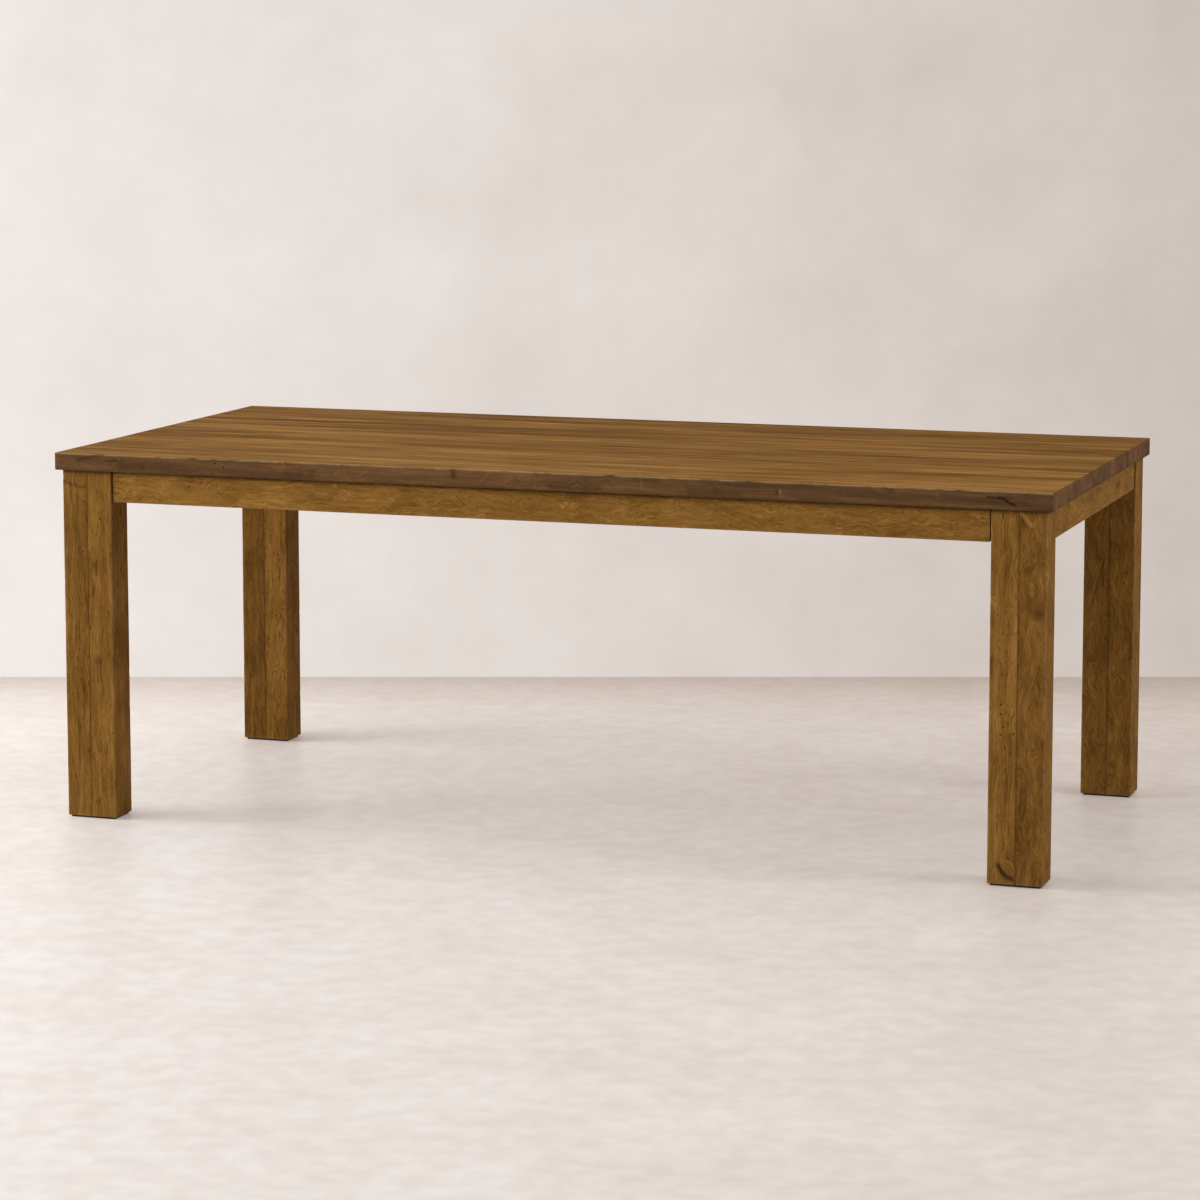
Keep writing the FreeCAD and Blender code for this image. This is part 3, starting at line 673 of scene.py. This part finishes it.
def grain_shade(tree, grain, ring_weight, figure):
    """The curled log coordinates and the summed shade of rings and grain layers, about 0.5 on average."""
    log = add(tree, "Attribute", attribute_name="log").outputs["Vector"]
    # Fibres waver: a slow noise shifts the two distances from the heart, more where the piece swirls.
    sway = add(tree, "MapRange", {"Value": figure.outputs[0], "To Min": STILL, "To Max": SWIRLING})
    bent = swayed(tree, log, grain_layer(tree, log, *WAVER), sway)

    # Growth rings: an uneven run of tones by the distance from the heart.
    level = add(tree, "VectorMath", {0: bent, 1: FROM_HEART}, operation="MULTIPLY")
    radius = add(tree, "VectorMath", {0: level}, operation="LENGTH").outputs["Value"]
    count = add(tree, "Math", {0: radius, 1: 1 / RING_WIDTH}, operation="MULTIPLY")
    rings = add(tree, "TexNoise", {"W": count, "Scale": 1.0, "Detail": 1.5}, noise_dimensions="1D")
    base = 0.5 - (ring_weight + sum(layer[-1] for layer in grain.values())) / 2
    shade = add(tree, "Math", {0: rings, 1: ring_weight, 2: base}, operation="MULTIPLY_ADD")
    curly, patch = curled(tree, log, bent, figure)
    for layer, (length, width, detail, weight) in grain.items():
        noise = grain_layer(tree, curly if layer in FINE else bent, length, width, detail)
        shade = add(tree, "Math", {0: noise, 1: weight, 2: shade}, operation="MULTIPLY_ADD")
    return log, curly, patch, shade, noise


# %% Fine lines and pores
PALE_LINES, PORES = (90, 5, 1.0), (11, 2.6, 0.0)
PALE_WEIGHT, PORE_WEIGHT = 0.22, -0.36


def fine_figure(tree, curly, patch, shade, figure):
    """Add pale lines to the curled patches, and dark pores everywhere: short dashes along the grain."""
    pale = add(tree, "MapRange", {"Value": grain_layer(tree, curly, *PALE_LINES), "From Min": 0.56,
                                  "From Max": 0.7})
    pale = add(tree, "Math", {0: pale, 1: patch}, operation="MULTIPLY")
    shade = add(tree, "Math", {0: pale, 1: PALE_WEIGHT, 2: shade}, operation="MULTIPLY_ADD")
    pore = add(tree, "MapRange", {"Value": grain_layer(tree, curly, *PORES), "From Min": 0.66,
                                  "From Max": 0.76})
    pore = add(tree, "Math", {0: pore, 1: figure.outputs[1]}, operation="MULTIPLY")
    shade = add(tree, "Math", {0: pore, 1: PORE_WEIGHT, 2: shade}, operation="MULTIPLY_ADD")
    return shade, pore


# %% The stained wood
KNOT_BROWN, SCAR, RUBBED_BARE_AND_HIGHLIGHT, GRIME_AND_SHADE = "#34220f", "#9a6f35", "#ae9168", "#20150b"
WEAR_PER_METRE = 34.0
PORE_DEPTH = -1.5
FIBRE_RELIEF = 0.2 * MM


def stained_wood(name, grain, ring_weight, face_shades, edge_shades, specular):
    """A wood finish: the shade becomes stain; knots, scars, worn arrises, dirt, painted shade and highlight
    go over it.
    """
    material, tree = blank_material(name)
    vectors = (add(tree, "Attribute", attribute_name=title).outputs["Vector"]
               for title in ("marks", "finish", "figure"))
    marks, finish, figure = (add(tree, "SeparateXYZ", {0: vector}) for vector in vectors)
    log, curly, patch, shade, fibre = grain_shade(tree, grain, ring_weight, figure)
    shade, pore = fine_figure(tree, curly, patch, shade, figure)
    shade = add(tree, "Math", {0: shade, 1: finish.outputs[0]}, operation="ADD")

    face = add(tree, "ValToRGB", {"Fac": shade}, stops=face_shades)
    edge = add(tree, "ValToRGB", {"Fac": shade}, stops=edge_shades)
    stain = add(tree, "Mix", {"Factor": finish.outputs[1], "A": face, "B": edge}, data_type="RGBA")
    knot = add(tree, "MapRange", {"Value": finish.outputs[2], "From Min": 0.2, "From Max": 2.2,
                                  "To Min": 0.3, "To Max": 0.0}, interpolation_type="SMOOTHSTEP")
    # An arris is worn pale, with painted highlight, in some places and knocked dark in others.
    worn = add(tree, "TexNoise", {"Vector": log, "Scale": WEAR_PER_METRE, "Detail": 2.0})
    bare = add(tree, "MapRange", {"Value": worn, "From Min": 0.3, "From Max": 0.55, "To Max": 0.6})
    thin_and_highlit = add(tree, "Math", {0: marks.outputs[2], 1: bare}, operation="MULTIPLY")
    knock = add(tree, "MapRange", {"Value": worn, "From Min": 0.38, "From Max": 0.28, "To Max": 0.6})
    # Dirt in the knocked arrises, then the dark marks: real streaks and holes, and the painted shade.
    grime_and_shade = add(tree, "Math", {0: marks.outputs[2], 1: knock}, operation="MULTIPLY")
    grime_and_shade = add(tree, "Math", {0: grime_and_shade, 1: marks.outputs[0]}, operation="MAXIMUM")
    for share, code in ((knot, KNOT_BROWN), (marks.outputs[1], SCAR), (thin_and_highlit, RUBBED_BARE_AND_HIGHLIGHT), (grime_and_shade, GRIME_AND_SHADE)):
        stain = add(tree, "Mix", {"Factor": share, "A": stain, "B": linear(code)}, data_type="RGBA")

    rough = add(tree, "MapRange", {"Value": shade, "From Min": 0.2, "From Max": 0.8, "To Min": 0.72,
                                   "To Max": 0.58})
    relief = add(tree, "Math", {0: pore, 1: PORE_DEPTH, 2: fibre}, operation="MULTIPLY_ADD")
    bump = add(tree, "Bump", {"Height": relief, "Strength": 0.3, "Distance": FIBRE_RELIEF})
    shader = add(tree, "BsdfPrincipled", {"Base Color": stain, "Roughness": rough, "Normal": bump,
                                          "IOR": 1.5, "Specular IOR Level": specular})
    add(tree, "OutputMaterial", {"Surface": shader})
    return material


AMBER = [(0.0, "#35230d"), (0.3, "#5b3e19"), (0.5, "#745123"), (0.72, "#8b6530"), (1.0, "#a67f46")]
AMBER_TOP = [(0.0, "#3c290c"), (0.3, "#66461a"), (0.5, "#7f5926"), (0.72, "#996e33"), (1.0, "#b48a4a")]
WALNUT = [(0.0, "#3c2a1c"), (0.3, "#4d3723"), (0.5, "#573f28"), (0.72, "#62472c"), (1.0, "#725536")]
TOP_RINGS, LEG_RINGS = 0.12, 0.2
# The share of the usual gloss that a thin matt lacquer keeps.
MATT = 0.02
top_wood = stained_wood("stained_hardwood_top", TOP_GRAIN, TOP_RINGS, AMBER_TOP, WALNUT, MATT)
leg_wood = stained_wood("stained_hardwood_legs", LEG_GRAIN, LEG_RINGS, AMBER, WALNUT, MATT)
apron_wood = stained_wood("stained_hardwood_aprons", LEG_GRAIN, LEG_RINGS, AMBER, WALNUT, MATT)
print("wood finishes:", top_wood.name, leg_wood.name, apron_wood.name)

# %% [markdown]
# ## The top
# Eight boards, edge-glued. Planing leaves each a hair lower or shorter than its neighbour, which shows as
# small steps along the end. The outer edges of the top are eased, and the edges took the stain darker
# than the face.

# %% Boards of the top
NONE, LOW_PAIR, HIGH_PAIR = (), (0, 3), (1, 2)
FRONT_TOP = 3
# Tone, swirl, pores and curls, from the front board to the rear one.
BOARD_STYLES = [
    (0.1, 0.05, 0.3, 0.0), (0.05, 0.03, 0.3, 0.0), (0.06, 0.06, 0.3, 0.0), (-0.05, 0.03, 0.3, 0.0),
    (0.03, 0.05, 0.3, 0.0), (-0.04, 0.03, 0.3, 0.0), (0.03, 0.04, 0.3, 0.0), (-0.06, 0.05, 0.3, 0.0),
]
BOARD_STEP, BOARD_SEED, END_SEED = (8 * MM, 5 * MM), 11, 100
STAIN_REACH = 0.8 * MM
END_STEP, FACE_STEP = 0.7 * MM, 0.3 * MM


def slab_edge(points, low, high):
    """1 on the front, rear and end faces of the top, falling to 0 on its upper and lower faces."""
    return np.clip(np.minimum(points[:, 2] - low[2], high[2] - points[:, 2]) / STAIN_REACH, 0, 1)


boards = sorted(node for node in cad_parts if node.startswith("top_board_"))
for number, (node, style) in enumerate(zip(boards, BOARD_STYLES)):
    low, high = map(np.array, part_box(node))
    lot = np.random.default_rng(END_SEED + number)
    low[0] += lot.uniform(0, END_STEP)
    high -= np.array([lot.uniform(0, END_STEP), 0, lot.uniform(0, FACE_STEP)])
    first, last = number == 0, number == len(boards) - 1
    eased = LOW_PAIR if first else HIGH_PAIR if last else NONE
    # The front board's upper front arris gets the pale line at full strength: wear and painted highlight.
    wooden_piece(node, X_AXIS, low, high, eased, (int(first), int(last), 1, 1), top_wood, style,
                 BOARD_SEED + number, step=BOARD_STEP, arris=1.2 * MM, seam_dark=0.35, by_hand=False,
                 edge_stain=slab_edge, shade_low_edge=0.4, worn_and_highlit=(FRONT_TOP,) if first else NONE, rub_and_highlight_share=1.0)
print("boards:", len(boards))

# %% [markdown]
# ## The legs
# Each leg is two staves glued face to face, so its front shows a seam in the middle and two different
# tones. Behind the aprons the inner stave has a flat for the hanger bolt, and each stave has a mortise
# for an apron's tenon.

# %% Staves of the legs
# Tone, swirl, pores and curls of the outer and the inner stave of each leg.
STAVE_STYLES = {
    "front_left": ((-0.02, 0.3, 0.5, 0.25), (0.02, 0.2, 0.6, 0.2)),
    "front_right": ((-0.03, 0.8, 0.3, 0.7), (0.1, 0.15, 0.6, 0.4)),
    # The rear right leg's low tones are partly its own and partly painted shade, as it stands under the
    # top.
    "rear_right": ((-0.05, 0.7, 0.3, 0.7), (-0.06, 0.8, 0.3, 0.7)),
    "rear_left": ((-0.15, 0.2, 0.4, 0.2), (0.0, 0.2, 0.7, 0.6)),
}
STAVE_STEP, STAVE_SEED = (4 * MM, 3.2 * MM), 31
LEG_FLAT = 12 * MM
TENON_THICK, TENON_SHOULDER, TENON_LENGTH, FIT = 10 * MM, 9 * MM, 30 * MM, 0.3 * MM
apron_low, apron_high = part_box("front_apron")
tenon_low, tenon_high = apron_low.z + TENON_SHOULDER, apron_high.z - TENON_SHOULDER
long_apron_middle = abs(apron_low.y + apron_high.y) / 2
short_apron_middle = abs(sum(corner.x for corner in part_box("right_apron"))) / 2
FLAT_CORNER = {(True, True): 2, (False, True): 3, (False, False): 0, (True, False): 1}

for number, (corner, styles) in enumerate(STAVE_STYLES.items()):
    on_left, at_front = corner.endswith("left"), corner.startswith("front")
    turn = np.array([-1 if on_left else 1, -1 if at_front else 1, 1])
    middle = np.array([short_apron_middle, long_apron_middle, 0]) * turn
    for layer, style in zip(("outer", "inner"), styles):
        node = f"leg_{corner}_{layer}_stave"
        low, high = map(np.array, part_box(node))
        shown_low = (layer == "outer") == on_left
        inner = layer == "inner"
        flat = (FLAT_CORNER[on_left, at_front], apron_low.z - low[2], LEG_FLAT) if inner else None
        start, end = middle - TENON_THICK / 2 - FIT, middle + TENON_THICK / 2 + FIT
        start[2], end[2] = tenon_low - FIT, tenon_high + FIT
        axis = X_AXIS if inner else Y_AXIS
        pocket = (start, end, axis, (TENON_LENGTH + FIT) * turn[axis])
        wooden_piece(node, Z_AXIS, low, high, LOW_PAIR if shown_low else HIGH_PAIR,
                     (int(shown_low), int(not shown_low), 1, 1), leg_wood, style,
                     STAVE_SEED + 2 * number + inner, step=STAVE_STEP, seam_dark=0.4, shade_under_top=0.75,
                     flat=flat, pocket=pocket)
print("leg staves:", 2 * len(STAVE_STYLES))

# %% [markdown]
# ## The aprons
# Four rails set back a little from the legs, each ending a few millimetres short of them, so a dark line
# shows. Only the two lower arrises are eased, and a groove runs along the inside for the clips that hold
# the top. The tenons are short bars of their own in the same mesh.

# %% Aprons
APRON_REVEAL = 3 * MM
APRON_STEP, APRON_SEED = (5 * MM, 3.5 * MM), 51
APRON_STYLES = {"front": (0.09, 0.5, 0.3, 1.0), "rear": (0.0, 0.5, 0.3, 1.0),
                "left": (-0.02, 0.6, 0.3, 0.9), "right": (0.0, 0.7, 0.3, 0.9)}
GROOVE_DROP, GROOVE_HEIGHT, GROOVE_DEPTH = 12 * MM, 3 * MM, 10 * MM
leg_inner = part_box("leg_front_right_inner_stave")[0].x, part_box("leg_rear_right_inner_stave")[0].y
# The side of the bar that faces into the table: 0 and 1 are low and high a, 2 and 3 low and high b.
INSIDE = {"front": 1, "rear": 0, "left": 3, "right": 2}
# The corners of the bar that lie low, and its free low side, by the way the grain runs.
LOW_CORNERS = {X_AXIS: (0, 1), Y_AXIS: (0, 3)}
LOW_SIDE = {X_AXIS: (0, 0, 1, 0), Y_AXIS: (1, 0, 0, 0)}

for number, (side, style) in enumerate(APRON_STYLES.items()):
    node = f"{side}_apron"
    low, high = map(np.array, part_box(node))
    grain = X_AXIS if side in ("front", "rear") else Y_AXIS
    thick = 1 - grain
    reach = leg_inner[grain] - APRON_REVEAL
    tenons = []
    for sign in (-1, 1):
        start, end = low.copy(), high.copy()
        start[grain], end[grain] = np.sort([sign * high[grain], sign * (reach - APRON_REVEAL)])
        middle = (low[thick] + high[thick]) / 2
        start[thick], end[thick] = middle - TENON_THICK / 2, middle + TENON_THICK / 2
        start[2], end[2] = tenon_low, tenon_high
        tenons.append((start, end))
    low[grain], high[grain] = -reach, reach
    groove_top = high[2] - low[2] - GROOVE_DROP
    notch = (INSIDE[side], groove_top - GROOVE_HEIGHT, groove_top, GROOVE_DEPTH)
    wooden_piece(node, grain, low, high, LOW_CORNERS[grain], LOW_SIDE[grain], apron_wood,
                 style, APRON_SEED + number, step=APRON_STEP, shade_under_top=0.85, notch=notch, tenons=tenons)
print("aprons:", len(APRON_STYLES))

# %% [markdown]
# ## Pads under the legs
# A moulded black rubber pad keeps each leg off the floor. It is smaller than the leg, so it shows as a
# dark line. Moulded rubber is matt, with a faint grain from the mould and dust in it.

# %% Pads
GRIT, MOULD_RELIEF = 4 * MM, 0.1 * MM
rubber, tree = blank_material("moulded_black_rubber")
place = add(tree, "TexCoord").outputs["Object"]
dust = add(tree, "TexNoise", {"Vector": place, "Scale": 1 / GRIT, "Detail": 3.0})
colour = add(tree, "ValToRGB", {"Fac": dust}, stops=[(0.3, "#14110f"), (0.7, "#2a2521")])
bump = add(tree, "Bump", {"Height": dust, "Strength": 0.3, "Distance": MOULD_RELIEF})
shader = add(tree, "BsdfPrincipled", {"Base Color": colour, "Normal": bump, "Roughness": 0.75})
add(tree, "OutputMaterial", {"Surface": shader})

PAD_EDGE, PAD_STEP = 0.8 * MM, (4 * MM, 3 * MM)
for node in sorted(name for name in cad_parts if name.startswith("foot_pad_")):
    low, high = map(np.array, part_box(node))
    points, faces = bar(high - low, PAD_STEP, PAD_EDGE, (PAD_EDGE,) * 4, (1, 1, 1, 1))
    make_piece(node, points + low, faces, rubber)
print("pads stand at", round(low[2], 4))

# %% [markdown]
# ## Hidden pieces
# The braces, rails, dowels and fasteners keep their own shape from the frame and get a finish. Nobody
# stains what nobody sees: the inner wood is bare and pale, and the fasteners are zinc-plated steel.

# %% Bare wood
def bare_wood(name, shades, angle, length, width):
    """Planed, unfinished wood: pale stripes along one direction, a few millimetres wide, so they show."""
    material, tree = blank_material(name)
    place = add(tree, "TexCoord").outputs["Object"]
    turned = add(tree, "Mapping", {"Vector": place, "Rotation": (0, 0, -angle)})
    stripe = grain_layer(tree, turned, length, width, 4.0)
    colour = add(tree, "ValToRGB", {"Fac": stripe}, stops=shades)
    bump = add(tree, "Bump", {"Height": stripe, "Strength": 0.3, "Distance": FIBRE_RELIEF})
    shader = add(tree, "BsdfPrincipled", {"Base Color": colour, "Normal": bump, "Roughness": 0.7})
    add(tree, "OutputMaterial", {"Surface": shader})
    return material


BARE = [(0.25, "#8a6a44"), (0.5, "#a9855a"), (0.75, "#c3a277")]
BEECH = [(0.25, "#b08c62"), (0.5, "#c9a67a"), (0.75, "#dcc09a")]
rail_wood = bare_wood("planed_bare_hardwood_rails", BARE, angle=pi / 2, length=150, width=6)
dowel_wood = bare_wood("fluted_beech", BEECH, angle=pi / 2, length=40, width=2)
brace_woods = {slope: bare_wood(f"planed_bare_hardwood_braces_{title}", BARE, angle=slope * pi / 4,
                                length=120, width=6)
               for slope, title in ((1, "rising"), (-1, "falling"))}
print("bare woods:", rail_wood.name, dowel_wood.name)

# %% Zinc-plated steel, and the finishes on their pieces
# Zinc plating is a pale grey metal, and its fine spangles shine unevenly.
SPANGLE = 2.5 * MM
zinc, tree = blank_material("zinc_plated_steel")
place = add(tree, "TexCoord").outputs["Object"]
spangle = add(tree, "TexNoise", {"Vector": place, "Scale": 1 / SPANGLE, "Detail": 2.0})
colour = add(tree, "ValToRGB", {"Fac": spangle}, stops=[(0.3, "#9a9a94"), (0.7, "#c2c2bc")])
rough = add(tree, "MapRange", {"Value": spangle, "To Min": 0.28, "To Max": 0.46})
shader = add(tree, "BsdfPrincipled", {"Base Color": colour, "Roughness": rough, "Metallic": 1.0})
add(tree, "OutputMaterial", {"Surface": shader})

hidden = {node: item for node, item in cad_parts.items() if not item.hide_render}
for node, item in hidden.items():
    if node.startswith("corner_brace_"):
        material = brace_woods[1 if node.endswith(("front_right", "rear_left")) else -1]
    elif node.startswith("cross_rail_"):
        material = rail_wood
    elif node.endswith("_dowels"):
        material = dowel_wood
    else:
        material = zinc
    item.data.materials.clear()
    item.data.materials.append(material)
print("hidden pieces finished:", len(hidden))

# %% [markdown]
# ## Camera
# The camera stands at the front right, a little above the top, with a long lens. Its place was worked out
# from the edges of the table in the photograph. The picture's centre lies below the optical axis, so the
# lens is shifted.

# %% Camera
PHOTO_SIDE = 1200
FOCAL_PIXELS = 3757.9
AXIS_ROW = 480
EYE = np.array([2.5052, -7.461, 1.665])
YAW, PITCH = radians(18.739), radians(7.021)
lens = bpy.data.cameras.new("camera")
lens.sensor_width = 36.0
lens.lens = FOCAL_PIXELS / PHOTO_SIDE * lens.sensor_width
lens.shift_y = AXIS_ROW / PHOTO_SIDE - 0.5
camera = new_object("camera", lens)
camera.location = EYE
camera.rotation_euler = (pi / 2 - PITCH, 0, YAW)
bpy.context.scene.camera = camera
print("lens:", round(lens.lens, 1), "mm")

# %% [markdown]
# ## Floor and wall
# A pale floor and a pale wall of soft plaster, square to the view. The wall is seen from the front only:
# from behind it lets the view through, so that the table can be looked at from every side.

# %% Where the wall stands
WALL_ROW = 677
FALLOFF_SPAN = 1.7
FOOT_REACH, FOOT_FADE, FOOT_SHADE_TINT = 0.9, 2.5, "#dcd4ce"
TROWEL_MARK = 0.05
view_dir = np.array([-sin(YAW), cos(YAW), 0])
side_dir = np.array([cos(YAW), sin(YAW), 0])
UPWARD = np.array([0, 0, 1.0])
below_eye = EYE * np.array([1, 1, 0])
wall_away = EYE[2] / tan(PITCH + atan((WALL_ROW - AXIS_ROW) / FOCAL_PIXELS))
wall_line = below_eye @ view_dir + wall_away
print("wall stands", round(wall_away, 2), "m from the camera")

# %% Plaster
def seen_rays(tree):
    """1 for the rays that show a background: those from the camera, off gloss and through glass."""
    rays = add(tree, "LightPath").outputs
    seen = add(tree, "Math", {0: rays["Is Camera Ray"], 1: rays["Is Glossy Ray"]}, operation="MAXIMUM")
    return add(tree, "Math", {0: seen, 1: rays["Is Transmission Ray"]}, operation="MAXIMUM")


def plaster(name, near, far, *, cloud, foot, trowel, rough, specular, own, one_sided=False):
    """Soft pale plaster, mottled about an arm wide, with painted light falloff: greyer away from the
    window.

    Near the foot of the wall a painted shade darkens it by a share, foot, and trowel marks show by
    another. A last share, own, is seen as it is written, whatever light falls on it.
    """
    material, tree = blank_material(name)
    place = add(tree, "TexCoord").outputs["Object"]
    mottle = add(tree, "TexNoise", {"Vector": place, "Scale": 1 / cloud, "Detail": 6.0, "Roughness": 0.6})
    across, along = (add(tree, "VectorMath", {0: place, 1: way}, operation="DOT_PRODUCT").outputs["Value"]
                     for way in (side_dir, view_dir))
    # Painted light falloff: the colour grades from the near stops to the greyer far stops across the view.
    painted_falloff = add(tree, "MapRange", {"Value": across, "From Min": -FALLOFF_SPAN, "From Max": FALLOFF_SPAN})
    near, far = (add(tree, "ValToRGB", {"Fac": mottle}, stops=stops) for stops in (near, far))
    colour = add(tree, "Mix", {"Factor": painted_falloff, "A": near, "B": far}, data_type="RGBA")
    # Painted shade: the floor darkens towards the foot of the wall, on both sides of the wall's line.
    from_wall = add(tree, "Math", {0: along, 1: wall_line}, operation="SUBTRACT")
    from_wall = add(tree, "Math", {0: from_wall}, operation="ABSOLUTE")
    shade = add(tree, "MapRange", {"Value": from_wall, "From Min": FOOT_REACH, "From Max": 0.0,
                                   "To Max": foot})
    shade = add(tree, "Math", {0: shade, 1: FOOT_FADE}, operation="POWER")
    strokes = add(tree, "TexNoise", {"Vector": place, "Scale": 1 / TROWEL_MARK, "Detail": 4.0})
    strokes = add(tree, "ValToRGB", {"Fac": strokes}, stops=[(0.35, "#f7f5f4"), (0.65, "#ffffff")])
    for share, tint in ((shade, linear(FOOT_SHADE_TINT)), (trowel, strokes)):
        colour = add(tree, "Mix", {"Factor": share, "A": colour, "B": tint}, data_type="RGBA",
                     blend_type="MULTIPLY")
    surface = add(tree, "BsdfPrincipled", {"Base Color": colour, "Roughness": rough,
                                           "Specular IOR Level": specular})
    glow = add(tree, "Emission", {"Color": colour})
    share = add(tree, "Math", {0: seen_rays(tree), 1: own}, operation="MULTIPLY")
    surface = add(tree, "MixShader", {0: share, 1: surface, 2: glow})
    if one_sided:
        back = add(tree, "NewGeometry").outputs["Backfacing"]
        clear = add(tree, "BsdfTransparent")
        surface = add(tree, "MixShader", {0: back, 1: surface, 2: clear})
    add(tree, "OutputMaterial", {"Surface": surface})
    return material


def sheet(name, corner, u, v, material):
    """A flat four-sided sheet from a corner and two edges."""
    points = np.array([corner, corner + u, corner + u + v, corner + v])
    mesh = bpy.data.meshes.new(name)
    mesh.from_pydata(points.tolist(), [], [(0, 1, 2, 3)])
    mesh.materials.append(material)
    item = new_object(name, mesh)


# %% Sheets of the floor and the wall
FLOOR_SPAN, WALL_SPAN, WALL_HEIGHT = 40.0, 7.0, 5.0
# The far stops are greyer: a painted light falloff away from the window side.
floor_plaster = plaster("pale_screed_floor", [(0.3, "#fbf3ee"), (0.7, "#fffcf8")],
                        [(0.3, "#d9cec6"), (0.7, "#e3d9d2")], cloud=0.25, foot=1.0, trowel=1.0, rough=0.4,
                        specular=0.25, own=0.2)
wall_plaster = plaster("pale_plaster_wall", [(0.3, "#efe7e2"), (0.7, "#f8f1ec")],
                       [(0.3, "#c5bab2"), (0.7, "#d1c7c0")], cloud=0.45, foot=0.0, trowel=0.15, rough=0.9,
                       specular=0.1, own=0.9, one_sided=True)
floor_corner = np.array([-FLOOR_SPAN / 2, -FLOOR_SPAN / 2, 0])
sheet("floor", floor_corner, np.array([FLOOR_SPAN, 0, 0]), np.array([0, FLOOR_SPAN, 0]), floor_plaster)
wall_corner = below_eye + view_dir * wall_away - side_dir * WALL_SPAN / 2
sheet("wall", wall_corner, side_dir * WALL_SPAN, UPWARD * WALL_HEIGHT, wall_plaster)

# %% [markdown]
# ## Light
# A pale sky, a little brighter overhead and much brighter on the left, as in a white room with a window:
# so wide a light gives each foot a short soft shadow on its right. A large low lamp on the left adds to
# it, and one on the right lifts the end of the table. Neither lamp shows in gloss, so the top keeps its
# colour when it is seen at a low angle. Sky and lamps together come to about the level at which a
# colour renders as it is written.

# %% Lamps
def soft_lamp(name, place, aim, width, height, power):
    """A flat lamp of a width, height and power that looks from a place to an aim and shows in no gloss."""
    lamp = bpy.data.lights.new(name, "AREA")
    lamp.shape = "RECTANGLE"
    lamp.size, lamp.size_y = width, height
    lamp.energy = power
    item = new_object(name, lamp)
    item.location = place
    item.visible_glossy = False
    item.rotation_euler = (Vector(aim) - item.location).to_track_quat("-Z", "Y").to_euler()


soft_lamp("key", place=-side_dir * 8.8 + UPWARD * 2.3, aim=(0, 0, 0.2), width=5.0, height=2.0, power=740)
soft_lamp("side", place=side_dir * 6.0 - view_dir * 2.2 + UPWARD * 2.4, aim=(0, 0, 0.5), width=2.4,
          height=2.4, power=175)

# %% Sky
HORIZON_FILL, ZENITH_FILL, HIGH_SKY = 0.56, 0.68, 0.9
WINDOW_TILT = 0.6
world = bpy.data.worlds.new("studio")
bpy.context.scene.world = world
world.use_nodes = True
tree = world.node_tree
tree.nodes.clear()
direction = add(tree, "TexCoord").outputs["Generated"]
height = add(tree, "SeparateXYZ", {0: direction}).outputs["Z"]
level = add(tree, "MapRange", {"Value": height, "From Max": HIGH_SKY, "To Min": HORIZON_FILL,
                               "To Max": ZENITH_FILL})
across = add(tree, "VectorMath", {0: direction, 1: side_dir}, operation="DOT_PRODUCT").outputs["Value"]
tilt = add(tree, "Math", {0: across, 1: -WINDOW_TILT, 2: 1.0}, operation="MULTIPLY_ADD")
level = add(tree, "Math", {0: level, 1: tilt}, operation="MULTIPLY")
fill = add(tree, "Background", {"Color": linear("#fffefd"), "Strength": level})
backdrop = add(tree, "Background", {"Color": linear("#e6ddd6"), "Strength": 1.0})
mixed = add(tree, "MixShader", {0: seen_rays(tree), 1: fill, 2: backdrop})
add(tree, "OutputWorld", {"Surface": mixed})
bpy.context.scene.view_settings.view_transform = "Standard"
print("sky fill from", HORIZON_FILL, "at the horizon to", ZENITH_FILL, "overhead")
